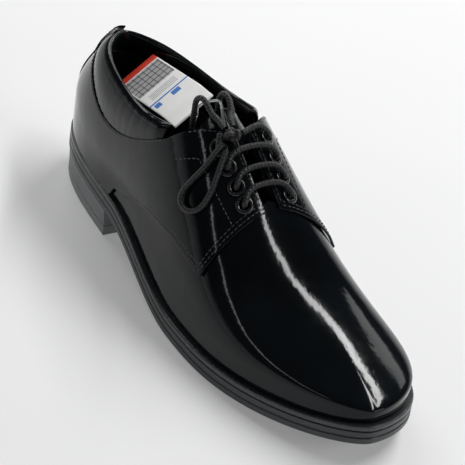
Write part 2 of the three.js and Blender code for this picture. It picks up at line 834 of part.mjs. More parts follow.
const medialEndRoute = fromKnot([
  [-4.6, 2.8, 1.2],
  [-8.5, 3.9, 2],
  [-12.5, 5.5, 2.3],
  [-15.9, 8.1, 2.9],
  [-19.3, 9, 4.2],
  [-22.3, 9.6, 5.7],
  [-25.2, 9.8, 6.3],
  [-27.7, 9.9, 5.8],
  [-29.8, 10, 4.4],
  [-31.2, 10, 2.3],
  [-31.7, 10, 0.4],
  [-31.7, 10, -5],
  [-31.7, 10, -12],
  [-31.7, 10, -19],
  [-31.7, 10, -26],
]);
const cords = [
  ["bow_loop", loopRoute, 26],
  ["lace_end_lateral", lateralEndRoute, 20],
  ["lace_end_medial", medialEndRoute, 20],
];
for (const [name, route, steps] of cords) {
  const cord = add(name, tube(route, laceWidth, steps), cotton());
  cordPieces.add(cord);
}

// The moulded tips hang straight down from the two ends.
for (const [name, route] of [["lateral", lateralEndRoute], ["medial", medialEndRoute]]) {
  const end = route.at(-1);
  const moulded = new THREE.CylinderGeometry(tipWidth / 2, tipWidth / 2, tipLength, 10).rotateX(Math.PI / 2);
  moulded.translate(end.x, end.y, end.z - gap - tipLength / 2);
  cordPieces.add(add("lace_tip_" + name, closed(moulded), hardPlastic()));
}

// ---- Hang tag ---------------------------------------------------------------------------------------------

// The card lies across the mouth: its middle, and its yaw, pitch and roll in degrees.
const tagMiddle = new THREE.Vector3(72.2, -2.8, 86);
const tagTurn = new THREE.Euler(degrees(34.9), degrees(-15.7), degrees(-4.9), "ZYX");
const onTag = (x, y, z) => new THREE.Vector3(x, y, z).applyEuler(tagTurn).add(tagMiddle);
add(
  "hang_tag",
  panel(12, 6, (u, v, w) => {
    const x = lerp(-tagLength / 2, tagLength / 2, u);
    const droop = tagDroop * smoothstep(x, tagLength / 2 - tagFoldLength, tagLength / 2);
    return onTag(x, lerp(-tagWidth / 2, tagWidth / 2, v), (w - 0.5) * tagThickness - droop);
  }),
  card(),
);
const tagEnd = onTag(tagLength / 2, -2, -tagDroop);
const toggle = new THREE.SphereGeometry(0.5, 10, 6).scale(4.5, 3, 3);
toggle.translate(tagEnd.x + 3, tagEnd.y, tagEnd.z - 0.5);
add("tag_toggle", closed(toggle), clearPlastic());

// The string rises from the toggle over the tongue and is caught under the lateral facing.
const stringOut = tongueOuter + tagStringWidth / 2 + 2 * gap;
const tagString = [
  new THREE.Vector3(tagEnd.x + 5.4, tagEnd.y, tagEnd.z + 1.6),
  new THREE.Vector3(tagEnd.x + 6.6, tagEnd.y, tagEnd.z + 9),
  instep(tongueBack - 0.004, -4, stringOut + 1.2),
  instep(tongueBack + 0.015, -6, stringOut + 0.4),
  instep(tongueBack + 0.035, -9, stringOut),
  instep(eyeletStations[0] - 0.024, -12, stringOut + 0.4),
];
add("tag_string", tube(tagString, tagStringWidth, 14, 6), clearPlastic());

// ---- Origin -----------------------------------------------------------------------------------------------

const extent = new THREE.Box3();
for (const piece of shoe.children) if (!cordPieces.has(piece)) extent.expandByObject(piece);
const middle = extent.getCenter(new THREE.Vector3());
shoe.position.set(-middle.x, -middle.y, 0);

export default shoe;
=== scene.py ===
# Lace-up derby dress shoe for the right foot, in black patent leather, with its tag still tied on.
# Metres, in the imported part's frame: +X from heel to toe, +Y to the inner side of the foot, +Z up.
import math
from functools import lru_cache

import bmesh
import bpy
from mathutils import Matrix, Vector


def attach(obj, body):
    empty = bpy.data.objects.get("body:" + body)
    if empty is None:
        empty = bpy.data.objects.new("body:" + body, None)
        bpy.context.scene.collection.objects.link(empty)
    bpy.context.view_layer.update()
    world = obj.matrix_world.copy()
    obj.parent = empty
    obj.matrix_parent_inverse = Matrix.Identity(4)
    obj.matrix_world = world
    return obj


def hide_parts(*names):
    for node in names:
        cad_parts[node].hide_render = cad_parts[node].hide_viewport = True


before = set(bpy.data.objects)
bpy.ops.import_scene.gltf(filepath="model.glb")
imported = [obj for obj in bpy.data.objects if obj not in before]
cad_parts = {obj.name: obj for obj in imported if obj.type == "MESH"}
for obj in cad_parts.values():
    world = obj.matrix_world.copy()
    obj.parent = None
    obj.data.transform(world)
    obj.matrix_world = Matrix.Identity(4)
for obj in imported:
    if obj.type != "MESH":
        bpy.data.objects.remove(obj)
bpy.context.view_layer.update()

# ---- View ------------------------------------------------------------------------------------------------
# The shoe is seen from its outer side, from above and in front of the toe's end, through a long lens with
# the camera a little rolled.
view_target = Vector((-0.00027, -0.00067, 0.04))
view_azimuth, view_elevation, view_roll = math.radians(55.257), math.radians(34.056), math.radians(9.56)
view_distance = 1.27585

back = Vector(
    (
        math.sin(view_azimuth) * math.cos(view_elevation),
        -math.cos(view_azimuth) * math.cos(view_elevation),
        math.sin(view_elevation),
    )
)
right = Vector((0, 0, 1)).cross(back).normalized()
above = back.cross(right)
tilted_right = right * math.cos(view_roll) + above * math.sin(view_roll)
tilted_above = above * math.cos(view_roll) - right * math.sin(view_roll)
lens = bpy.data.cameras.new("camera")
lens.sensor_width = 36
lens.lens = 190.2
lens.clip_end = 20
camera = bpy.data.objects.new("camera", lens)
bpy.context.scene.collection.objects.link(camera)
turned = Matrix((tilted_right, tilted_above, back)).transposed()
camera.matrix_world = Matrix.Translation(view_target + back * view_distance) @ turned.to_4x4()
bpy.context.scene.camera = camera

# ---- Bow loop and lace ends --------------------------------------------------------------------------------
# One loop of a half-tied bow hangs down the outer quarter, and the two ends of the lace drop over the back
# of the tongue into the shoe. The lace is round, braided black cotton, 3.2 mm across, with moulded tips.
lace_width = 0.0032
braid_pitch = 0.002
tip_width, tip_length = 0.0028, 0.02
knot = Vector((0.0030869, -0.0128987, 0.1048061))
loop_route = (
    (2.4, -6.4, -2.2), (2.8, -10.8, -8), (1.9, -15.4, -16), (0.5, -20.6, -23.5), (-0.5, -23.5, -28.7),
    (0.4, -25.3, -32.6), (3, -25.9, -34.9), (6.5, -25.6, -35.7), (10, -24.3, -34.9), (12.6, -22.3, -32.6),
    (13.5, -19.9, -29.6), (13.2, -17.2, -25.2), (11.8, -14.2, -19.6), (10, -11.6, -14.4),
    (7.8, -8.8, -9.2), (5.6, -6, -4.6),
)
lateral_end_route = (
    (-4.9, -1.9, 1), (-8.5, -2.1, 1.8), (-12.5, -2.3, 2.2), (-15.9, -2.9, 2.7), (-19.3, -3.2, 4),
    (-22.3, -3.5, 5.6), (-25.2, -3.7, 6.3), (-27.7, -3.8, 5.8), (-29.8, -3.9, 4.4), (-31.2, -4, 2.3),
    (-31.7, -4, 0.4), (-31.7, -4, -5), (-31.7, -4, -12), (-31.7, -4, -19), (-31.7, -4, -26),
)
medial_end_route = (
    (-4.6, 2.8, 1.2), (-8.5, 3.9, 2), (-12.5, 5.5, 2.3), (-15.9, 8.1, 2.9), (-19.3, 9, 4.2),
    (-22.3, 9.6, 5.7), (-25.2, 9.8, 6.3), (-27.7, 9.9, 5.8), (-29.8, 10, 4.4), (-31.2, 10, 2.3),
    (-31.7, 10, 0.4), (-31.7, 10, -5), (-31.7, 10, -12), (-31.7, 10, -19), (-31.7, 10, -26),
)


def from_knot(route):
    return [knot + Vector(point) * 0.001 for point in route]


def strand(points, step):
    """The smooth line of a lace through the points of its route, in equal steps."""
    route = [2 * points[0] - points[1], *points, 2 * points[-1] - points[-2]]
    fine = []
    for before, start, end, after in zip(route, route[1:], route[2:], route[3:]):
        a, b, c = (math.sqrt(d.length) for d in (start - before, end - start, after - end))
        leaving = ((start - before) / a - (end - before) / (a + b) + (end - start) / b) * b
        arriving = ((end - start) / b - (after - start) / (b + c) + (after - end) / c) * b
        for i in range(30):
            t = i / 30
            square, cube = t * t, t**3
            fine.append(
                start * (2 * cube - 3 * square + 1)
                + end * (3 * square - 2 * cube)
                + leaving * (cube - 2 * square + t)
                + arriving * (cube - square)
            )
    fine.append(points[-1].copy())
    return evenly(fine, step)


def evenly(fine, step):
    """The same line with its points one step apart."""
    lengths = [0.0]
    for a, b in zip(fine, fine[1:]):
        lengths.append(lengths[-1] + (b - a).length)
    count = max(2, round(lengths[-1] / step))
    line, i = [], 0
    for k in range(count + 1):
        want = lengths[-1] * k / count
        while i < len(fine) - 2 and lengths[i + 1] < want:
            i += 1
        share = (want - lengths[i]) / max(lengths[i + 1] - lengths[i], 1e-12)
        line.append(fine[i].lerp(fine[i + 1], share))
    return line


def laid_grid(u_steps, v_steps, place):
    """A grid of faces laid over place(u, v), which also keeps its (u, v) as a UV map."""
    bm = bmesh.new()
    layer = bm.loops.layers.uv.new("UVMap")
    bmesh.ops.create_grid(bm, x_segments=u_steps, y_segments=v_steps, size=0.5)
    for face in bm.faces:
        for loop in face.loops:
            loop[layer].uv = loop.vert.co.xy + Vector((0.5, 0.5))
    for vert in bm.verts:
        vert.co = place(vert.co.x + 0.5, vert.co.y + 0.5)
    return bm


def made(name, bm, material):
    """The finished mesh as an object, smooth but for its sharp edges."""
    mesh = bpy.data.meshes.new(name)
    bm.to_mesh(mesh)
    bm.free()
    mesh.shade_smooth()
    mesh.set_sharp_from_angle(angle=math.radians(48))
    mesh.materials.append(material)
    piece = bpy.data.objects.new(name, mesh)
    bpy.context.scene.collection.objects.link(piece)
    return piece


def plait(along, turn):
    """How proud the braid stands, 0 to 1, at a length along the lace and a share of a turn round it."""
    one = abs(math.sin(math.pi * (along / braid_pitch + 2 * turn)))
    other = abs(math.sin(math.pi * (along / braid_pitch - 2 * turn)))
    return math.sqrt(one * other)


def lace_tube(name, line, width, material, sides=20):
    """Braided cord along a line; u is the length along it in metres and v the share of a turn."""
    step = (line[1] - line[0]).length
    side = (line[1] - line[0]).orthogonal().normalized()
    frames = []
    for i, point in enumerate(line):
        ahead = (line[min(i + 1, len(line) - 1)] - line[max(i - 1, 0)]).normalized()
        side = (side - ahead * side.dot(ahead)).normalized()
        frames.append((point, side.copy(), ahead.cross(side)))

    def place(u, v):
        point, x, y = frames[round(u * (len(line) - 1))]
        radius = width / 2 * (0.88 + 0.12 * plait(u * (len(line) - 1) * step, v))
        return point + (x * math.cos(2 * math.pi * v) + y * math.sin(2 * math.pi * v)) * radius

    bm = laid_grid(len(line) - 1, sides, place)
    layer = bm.loops.layers.uv.active
    for face in bm.faces:
        for loop in face.loops:
            loop[layer].uv.x *= (len(line) - 1) * step
    bmesh.ops.remove_doubles(bm, verts=bm.verts, dist=1e-6)
    bmesh.ops.holes_fill(bm, edges=[edge for edge in bm.edges if edge.is_boundary])
    bmesh.ops.recalc_face_normals(bm, faces=bm.faces)
    return made(name, bm, material)


def stuff(name, colour, roughness, **sockets):
    """A new material with its shader's plain values set; returns it with its node tree and shader."""
    material = bpy.data.materials.new(name)
    material.use_nodes = True
    shader = material.node_tree.nodes["Principled BSDF"]
    shader.inputs["Base Color"].default_value = (*colour, 1)
    shader.inputs["Roughness"].default_value = roughness
    for socket, value in sockets.items():
        shader.inputs[socket.replace("_", " ")].default_value = value
    return material, material.node_tree, shader


def grain(tree, scale, detail=4.0, stretch=(1, 1, 1)):
    """Noise over the piece, as fine as its scale in features to the metre."""
    coordinates = tree.nodes.new("ShaderNodeTexCoord")
    mapping = tree.nodes.new("ShaderNodeMapping")
    mapping.inputs["Scale"].default_value = stretch
    noise = tree.nodes.new("ShaderNodeTexNoise")
    noise.inputs["Scale"].default_value = scale
    noise.inputs["Detail"].default_value = detail
    tree.links.new(coordinates.outputs["Object"], mapping.inputs["Vector"])
    tree.links.new(mapping.outputs["Vector"], noise.inputs["Vector"])
    return noise.outputs["Fac"]


def shades(tree, value, low, high, start=0.3, end=0.7):
    """Two colours, or two greys for a roughness, spread over a value."""
    ramp = tree.nodes.new("ShaderNodeValToRGB")
    for element, place, shade in zip(ramp.color_ramp.elements, (start, end), (low, high)):
        element.position = place
        element.color = (*shade, 1) if hasattr(shade, "__len__") else (shade, shade, shade, 1)
    tree.links.new(value, ramp.inputs["Fac"])
    return ramp.outputs["Color"]


def relief(tree, shader, value, depth, strength=1.0, under=None):
    """Raises the surface by a value, up to a depth in metres."""
    bump = tree.nodes.new("ShaderNodeBump")
    bump.inputs["Strength"].default_value = strength
    bump.inputs["Distance"].default_value = depth
    tree.links.new(value, bump.inputs["Height"])
    if under is not None:
        tree.links.new(under, bump.inputs["Normal"])
    tree.links.new(bump.outputs["Normal"], shader.inputs["Normal"])
    return bump.outputs["Normal"]


def sums(tree, operation, a, b=None):
    """One step of arithmetic on two values, each a socket or a number."""
    node = tree.nodes.new("ShaderNodeMath")
    node.operation = operation
    for socket, value in zip(node.inputs, (a, b)):
        if value is None:
            continue
        if isinstance(value, (int, float)):
            socket.default_value = value
        else:
            tree.links.new(value, socket)
    return node.outputs[0]


def braided_cotton():
    material, tree, shader = stuff("braided_cotton", (0.006, 0.006, 0.007), 0.5)
    shader.inputs["Sheen Weight"].default_value = 0.06
    shader.inputs["Sheen Roughness"].default_value = 0.4
    uv = tree.nodes.new("ShaderNodeUVMap")
    uv.uv_map = "UVMap"
    parts = tree.nodes.new("ShaderNodeSeparateXYZ")
    tree.links.new(uv.outputs["UV"], parts.inputs["Vector"])
    along = sums(tree, "MULTIPLY", parts.outputs["X"], math.pi / braid_pitch)
    turn = sums(tree, "MULTIPLY", parts.outputs["Y"], 2 * math.pi)
    one = sums(tree, "ABSOLUTE", sums(tree, "SINE", sums(tree, "ADD", along, turn)))
    less = sums(tree, "SUBTRACT", along, turn)
    other = sums(tree, "ABSOLUTE", sums(tree, "SINE", less))
    over = sums(tree, "MULTIPLY", one, other)
    yarn = sums(tree, "SINE", sums(tree, "MULTIPLY", less, 9.0))
    fibre = sums(tree, "ADD", sums(tree, "MULTIPLY", yarn, 0.12), over)
    # The braid's hollows are painted darker and its crowns lighter: painted shade between the strands.
    tree.links.new(shades(tree, over, (0.002, 0.002, 0.0025), (0.011, 0.012, 0.014), 0.05, 0.75),
              shader.inputs["Base Color"])
    fuzz = grain(tree, 9000, 3)
    tree.links.new(shades(tree, fuzz, 0.34, 0.52), shader.inputs["Roughness"])
    relief(tree, shader, fibre, 0.0002)
    return material


cotton = braided_cotton()
loop_line = strand(from_knot(loop_route), 0.00035)
bow_loop = lace_tube("bow_loop_cord", loop_line, lace_width, cotton)
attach(bow_loop, "shoe")
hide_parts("bow_loop")

tip_plastic, tree, shader = stuff("tip_plastic", (0.012, 0.012, 0.013), 0.22, Coat_Weight=0.5)
tree.links.new(shades(tree, grain(tree, 700), 0.16, 0.3), shader.inputs["Roughness"])
relief(tree, shader, grain(tree, 2500, 2, (1, 1, 0.1)), 0.00005)

tip_profile = (
    (0.0, 0.0), (0.88, 0.0), (1.0, 0.0006), (1.0, tip_length - 0.0015), (0.9, tip_length - 0.0006),
    (0.55, tip_length), (0.0, tip_length),
)
for side_name, route in (("lateral", lateral_end_route), ("medial", medial_end_route)):
    line = strand(from_knot(route), 0.00035)
    cord = lace_tube("lace_end_cord_" + side_name, line, lace_width, cotton)
    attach(cord, "shoe")
    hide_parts("lace_end_" + side_name)

    # The moulded tip hangs from the end: a turned outline, spun round the cord's line.
    bm = bmesh.new()
    top = line[-1] - Vector((0, 0, 0.0003))
    profile = [
        bm.verts.new(top + Vector((radius * tip_width / 2, 0, -depth))) for radius, depth in tip_profile
    ]
    edges = [bm.edges.new(pair) for pair in zip(profile, profile[1:])]
    bmesh.ops.spin(
        bm, geom=profile + edges, cent=top, axis=(0, 0, 1), angle=2 * math.pi, steps=24, use_merge=True
    )
    bmesh.ops.remove_doubles(bm, verts=bm.verts, dist=1e-6)
    bmesh.ops.recalc_face_normals(bm, faces=bm.faces)
    moulded = made("lace_tip_moulded_" + side_name, bm, tip_plastic)
    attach(moulded, "shoe")
    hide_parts("lace_tip_" + side_name)

# ---- Floor and light ---------------------------------------------------------------------------------------
# A plain white floor that glows a little, as a lit sweep does. A long tube of light high on the inner side
# draws the line down the vamp, and narrow panels draw fainter ones. Broad lights stand behind and in front.
floor_size = 9.0
pale, tree, shader = stuff("pale_floor", (0.8, 0.8, 0.8), 0.6)
tree.links.new(shades(tree, grain(tree, 3, 2), (0.79, 0.79, 0.795), (0.82, 0.82, 0.82)),
          shader.inputs["Base Color"])
shader.inputs["Specular IOR Level"].default_value = 0.1
shader.inputs["Emission Color"].default_value = (1, 1, 1, 1)
shader.inputs["Emission Strength"].default_value = 0.21
bm = bmesh.new()
bmesh.ops.create_grid(bm, x_segments=4, y_segments=4, size=floor_size / 2)
floor = made("floor", bm, pale)

world = bpy.data.worlds.new("studio")
bpy.context.scene.world = world
world.use_nodes = True
tree = world.node_tree
direction = tree.nodes.new("ShaderNodeTexCoord")
parts = tree.nodes.new("ShaderNodeSeparateXYZ")
tree.links.new(direction.outputs["Generated"], parts.inputs["Vector"])
wall = shades(
    tree, parts.outputs["Z"], (0.85, 0.86, 0.88), (0.035, 0.036, 0.04), 0.03, 0.2
)
tree.links.new(wall, tree.nodes["Background"].inputs["Color"])
bpy.context.scene.view_settings.view_transform = "Standard"

soft_lights = (
    ("long_tube", (-0.1, 0.82, 1.5), (-0.1, 0.1, 0.03), (-0.89, 0.456), 2.1, 0.13, 19),
    ("behind_heel", (-1.9, 0.3, 1.5), (0, 0, 0.03), (0, 1), 1.6, 0.9, 17),
    ("beside_toe", (1.9, 1.1, 1.3), (0.05, 0, 0.03), (-0.5, 0.87), 1.1, 0.6, 10),
    ("outer_panel", (-0.33, -1.41, 1.0), (0, 0, 0.05), (1, -0.23), 1.2, 0.07, 1.3),
    ("far_panel", (-0.8, 1.29, 0.9), (0, 0, 0.03), (1, 0.6), 0.9, 0.3, 1.8),
)
for name, place, aim, run, length, width, power in soft_lights:
    light = bpy.data.lights.new(name, "AREA")
    light.shape = "RECTANGLE"
    light.size, light.size_y = length, width
    light.energy = power
    lamp = bpy.data.objects.new(name, light)
    bpy.context.scene.collection.objects.link(lamp)
    facing = (Vector(place) - Vector(aim)).normalized()
    across = Vector((*run, 0))
    across = (across - facing * across.dot(facing)).normalized()
    turned = Matrix((across, facing.cross(across), facing)).transposed()
    lamp.matrix_world = Matrix.Translation(place) @ turned.to_4x4()

# ---- Outsole -----------------------------------------------------------------------------------------------
# The outsole is one moulded rubber unit, 7.6 mm thick, lifted 16.5 mm by the heel and sprung up 14.5 mm at
# the toe. Every piece above it follows the same last, so the last's outline is set out here, in millimetres.
foot_length = 292
lateral_half_widths = (36, 39.5, 38, 35, 41.3, 47.5, 49, 48.5, 44)
medial_half_widths = (32.5, 36, 37, 36, 39, 47.5, 55.8, 58, 50)
centre_line = (-5.5, -3, 0, 3.8, 4.8, 6.3, 10.8, 10.9, 5.2)
ridge_heights = (70, 110.5, 126, 125, 103, 71, 47.5, 40, 38.5)
ridge_offsets = (0.9, 0.6, 0.6, 0.6, 1.5, 5.6, 8, 9.7, 11.2)
ridge_heel_end, ridge_toe_end = 36, 252
heel_lift, heel_length, toe_spring = 16.5, 77, 14.5
ball_place, waist_front = 188.5, 168
outsole_thickness, welt_thickness, sole_margin = 7.6, 3.1, 2.5
gap = 0.3
frame_origin = (145.7197, 6.7087)
end_station = 0.004


def smooth(steps, place):
    """A smooth value through evenly spaced steps; place runs from 0 to 1."""
    last = len(steps) - 1
    padded = (2 * steps[0] - steps[1], *steps, 2 * steps[-1] - steps[-2])
    along = min(max(place, 0), 1) * last
    i = min(int(along), last - 1)
    f = along - i
    a, b, c, d = padded[i : i + 4]
    near = (3 * f**3 - 6 * f**2 + 4) * b + (-3 * f**3 + 3 * f**2 + 3 * f + 1) * c
    return ((1 - f) ** 3 * a + near + f**3 * d) / 6


def eased(value, low, high):
    share = min(max((value - low) / (high - low), 0), 1)
    return share * share * (3 - 2 * share)


def sole_underside(x):
    spring = toe_spring * (max(0, x - ball_place) / (foot_length - ball_place)) ** 2
    return spring + heel_lift * (1 - eased(x, heel_length + 4, waist_front))


@lru_cache(maxsize=None)
def outline(station, side):
    """The last's outline at a station: its rim, its ridge, and the way and distance between them."""
    turn = math.pi * min(max(station, 0), 1)
    x = foot_length / 2 * (1 - math.cos(turn))
    half = smooth(lateral_half_widths if side < 0 else medial_half_widths, station) * math.sin(turn)
    ridge_x = ridge_heel_end + x * (ridge_toe_end - ridge_heel_end) / foot_length
    ridge = Vector((ridge_x, smooth(ridge_offsets, ridge_x / foot_length)))
    rim = Vector((x, smooth(centre_line, station) + side * half))
    reach = (rim - ridge).length
    return rim, ridge, reach, (rim - ridge) / reach


def in_frame(x, y, z):
    """A place on the last, in millimetres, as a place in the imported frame, in metres."""
    return Vector((x - frame_origin[0], y - frame_origin[1], z)) * 0.001


def rim_point(station, side, inset):
    rim, _, _, outward = outline(station, side)
    return rim - outward * inset


def sole_layer(name, material, layers, first, last, underside, steps=150, across=12):
    """A layer of the sole: a grid over its plan, extruded upwards through (inset, height) layers."""
    bm = bmesh.new()
    plan_u, plan_v = bm.verts.layers.float.new("plan_u"), bm.verts.layers.float.new("plan_v")
    bmesh.ops.create_grid(bm, x_segments=steps, y_segments=across, size=0.5)
    for vert in bm.verts:
        vert[plan_u], vert[plan_v] = vert.co.x + 0.5, vert.co.y + 0.5

    def settle(verts, inset, height):
        for vert in verts:
            station = first + (last - first) * vert[plan_u]
            low, high = (rim_point(station, side, inset) for side in (-1, 1))
            point = low.lerp(high, vert[plan_v])
            vert.co = in_frame(point.x, point.y, underside(point.x) + height)

    settle(bm.verts, *layers[0])
    faces = list(bm.faces)
    for inset, height in layers[1:]:
        grown = bmesh.ops.extrude_face_region(bm, geom=faces)["geom"]
        faces = [item for item in grown if isinstance(item, bmesh.types.BMFace)]
        settle([item for item in grown if isinstance(item, bmesh.types.BMVert)], inset, height)
    bmesh.ops.recalc_face_normals(bm, faces=bm.faces)
    return made(name, bm, material)


def moulded_rubber(name, dark, light, roughness, speckle):
    material, tree, shader = stuff(name, dark, roughness)
    fine = grain(tree, speckle, 6)
    tree.links.new(shades(tree, fine, dark, light, 0.35, 0.75), shader.inputs["Base Color"])
    tree.links.new(shades(tree, grain(tree, 60, 3), roughness - 0.08, roughness + 0.1),
              shader.inputs["Roughness"])
    under = relief(tree, shader, fine, 0.00012, 0.5)
    relief(tree, shader, grain(tree, 90, 2), 0.0005, 0.3, under)
    return material


sole_black = moulded_rubber("sole_black", (0.025, 0.028, 0.03), (0.05, 0.055, 0.058), 0.36, 1800)
outsole_layers = (
    (-1.9, 0.0), (-2.35, 0.25), (-2.5, 0.7), (-2.5, 3.2), (-2.3, 3.5), (-1.7, 3.75), (-1.7, 4.05),
    (-2.3, 4.3), (-2.5, 4.6), (-2.5, 7.0), (-2.3, 7.4), (-1.9, 7.6),
)
outsole = sole_layer(
    "outsole_rubber", sole_black, outsole_layers, end_station, 1 - end_station, sole_underside
)
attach(outsole, "shoe")
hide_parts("outsole")

# ---- Heel --------------------------------------------------------------------------------------------------
# The heel is a stacked block of grey rubber in thin lifts, with a thicker top piece under it that
# meets the ground. Both are a little smaller than the sole, and nailed from inside.
heel_station = math.acos(1 - 2 * heel_length / foot_length) / math.pi
top_piece_thickness = 5.5
lift_count = 5

heel_grey = moulded_rubber("heel_grey", (0.17, 0.18, 0.18), (0.27, 0.285, 0.285), 0.5, 2200)
top_piece_layers = ((-0.7, 0.0), (-0.95, 0.2), (-1.0, 0.5), (-1.0, 5.1), (-0.9, 5.4), (-0.6, 5.5))
top_piece = sole_layer(
    "heel_top_piece_rubber", heel_grey, top_piece_layers, end_station, heel_station, lambda x: 0, 60
)
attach(top_piece, "shoe")
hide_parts("heel_top_piece")

block_low, block_high = top_piece_thickness + gap, heel_lift - gap
block_layers = [(-0.6, block_low)]
for i in range(lift_count):
    lift_low = block_low + (block_high - block_low) * i / lift_count
    lift_high = block_low + (block_high - block_low) * (i + 1) / lift_count
    inset = -1.0 - 0.9 * (i + 0.5) / lift_count
    block_layers += [(inset, lift_low + 0.25), (inset - 0.06, lift_high - 0.25), (inset + 0.35, lift_high)]
block_layers[-1] = (block_layers[-1][0], block_high)
heel_block = sole_layer(
    "heel_block_rubber", heel_grey, block_layers, end_station, heel_station, lambda x: 0, 60
)
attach(heel_block, "shoe")
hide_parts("heel_block")

# ---- Welt --------------------------------------------------------------------------------------------------
# A rubber welt runs right round on top of the outsole. Its edge is one more ridge, and its top is knurled
# where it shows beside the upper.
welt_width = 12
welt_profile = (
    (-1.9, 0.0), (-2.35, 0.2), (-2.5, 0.6), (-2.5, 2.2), (-2.3, 2.75), (-1.8, 3.05), (-1.2, 3.1),
    (3.0, 3.1), (welt_width - sole_margin, 3.1), (welt_width - sole_margin, 0.0),
)


def welt_point(u, v):
    around = 2 * u - 1
    inset, height = welt_profile[round(v * len(welt_profile)) % len(welt_profile)]
    point = rim_point(1 - abs(around), -1 if around < 0 else 1, inset)
    knurl = 0.1 * math.sin(math.pi * 460 * u) if height > 2.9 and inset < 1 else 0
    low = sole_underside(point.x) + outsole_thickness + gap
    return in_frame(point.x, point.y, low + height + knurl)


bm = laid_grid(720, len(welt_profile), welt_point)
bmesh.ops.remove_doubles(bm, verts=bm.verts, dist=1e-6)
bmesh.ops.recalc_face_normals(bm, faces=bm.faces)
welt_black = moulded_rubber("welt_black", (0.03, 0.033, 0.034), (0.06, 0.064, 0.066), 0.26, 2400)
welt = made("welt_rubber", bm, welt_black)
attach(welt, "shoe")
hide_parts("welt")

# ---- Sock liner --------------------------------------------------------------------------------------------
# A thin leather sock lies on the insole board, edge to edge inside the linings.
tuck_under = (1.8, 0.5, 0.2, 0.2, 0.4, 0.8, 1, 1, 2.3)
insole_thickness, sock_thickness = 2, 1.5
vamp_lining_layer = (-5.3, -4.4)
sock_inset = max(tuck_under) - vamp_lining_layer[0] + 2 * gap


def lining_leather():
    material, tree, shader = stuff("lining_leather", (0.02, 0.019, 0.02), 0.55)
    pores = grain(tree, 1400, 5)
    tree.links.new(shades(tree, grain(tree, 45, 3), (0.014, 0.013, 0.014), (0.034, 0.032, 0.033)),
              shader.inputs["Base Color"])
    tree.links.new(shades(tree, pores, 0.45, 0.68), shader.inputs["Roughness"])
    under = relief(tree, shader, pores, 0.00015, 0.5)
    relief(tree, shader, grain(tree, 120, 2), 0.0006, 0.35, under)
    return material


def feather_height(x):
    return sole_underside(x) + outsole_thickness + welt_thickness + 2 * gap


lining = lining_leather()
sock = sole_layer(
    "sock_liner_leather",
    lining,
    ((sock_inset, 0), (sock_inset, sock_thickness - 0.3), (sock_inset + 0.3, sock_thickness)),
    0.02,
    0.98,
    lambda x: feather_height(x) + insole_thickness + gap,
    90,
)
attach(sock, "shoe")
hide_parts("sock_liner")

# ---- Vamp --------------------------------------------------------------------------------------------------
# The vamp is one plain piece of black patent leather, lasted from the throat over the toe and down to the
# welt on both sides. It is 1.3 mm thick and reaches under the quarters.
squareness = (2.23, 2.14, 1.98, 1.8, 1.84, 2.05, 2.2, 2.3, 2.3)
wall_heights = (24, 22, 18, 14, 12, 12, 11, 8.5, 6.5)
vamp_thickness = 1.3
vamp_start = (
    (-90, 0.33), (-20, 0.34), (12, 0.4), (23, 0.455), (32, 0.517), (40, 0.55), (52, 0.588), (90, 0.59),
)


def follow(pairs, place):
    """Straight lines between (place, value) pairs."""
    for (a, low), (b, high) in zip(pairs, pairs[1:]):
        if place < b:
            return low + (high - low) * max(place - a, 0) / (b - a)
    return pairs[-1][1]


@lru_cache(maxsize=None)
def section(station):
    return smooth(squareness, station), smooth(wall_heights, station), smooth(tuck_under, station)


def upper(station, side, lift, out):
    """A place on the upper. Lift, in degrees, is -90 at the welt, 0 at the widest line and 90 on the ridge;
    out is the distance outwards from the vamp's face, in millimetres."""
    _, ridge, reach, outward = outline(station, side)
    square, wall, tuck = section(station)
    angle = math.radians(lift)
    c, s = max(0.0, math.cos(angle)), math.sin(angle)
    above = lift > 0
    base = ridge + outward * (reach * c ** (2 / square) if above else reach - tuck * (1 - c))
    seat = feather_height(base.x)
    crown = smooth(ridge_heights, base.x / foot_length) - seat - wall
    height = seat + wall + (crown * s ** (2 / square) if above else wall * s)
    level, rise = 1.0, 0.0
    if above:
        level, rise = c ** (2 - 2 / square) / reach, s ** (2 - 2 / square) / crown
        size = math.hypot(level, rise)
        level, rise = level / size, rise / size
    base += outward * (level * out)
    return in_frame(base.x, base.y, height + rise * out)


def patent_leather(name, gloss, pebble):
    """Patent leather: black, sealed under a clear skin that is slightly wavy, with fine creases."""
    material, tree, shader = stuff(name, (0.004, 0.004, 0.0045), gloss)
    shader.inputs["Specular IOR Level"].default_value = 0.08
    shader.inputs["Coat Weight"].default_value = 0.5
    shader.inputs["Coat Roughness"].default_value = 0.045
    shader.inputs["Coat IOR"].default_value = 1.36
    clouds = grain(tree, 25, 3)
    tree.links.new(shades(tree, clouds, (0.0022, 0.003, 0.0038), (0.005, 0.0068, 0.0082)),
              shader.inputs["Base Color"])
    tree.links.new(shades(tree, grain(tree, 160, 5), gloss * 0.7, gloss * 1.5),
              shader.inputs["Roughness"])
    waves = relief(tree, shader, grain(tree, 38, 2), 0.0012, 0.3)
    skin = relief(tree, shader, grain(tree, 420, 3), 0.00008, 0.5 * pebble, waves)
    tree.links.new(skin, shader.inputs["Coat Normal"])
    return material


patent = patent_leather("patent_leather", 0.1, 1.0)

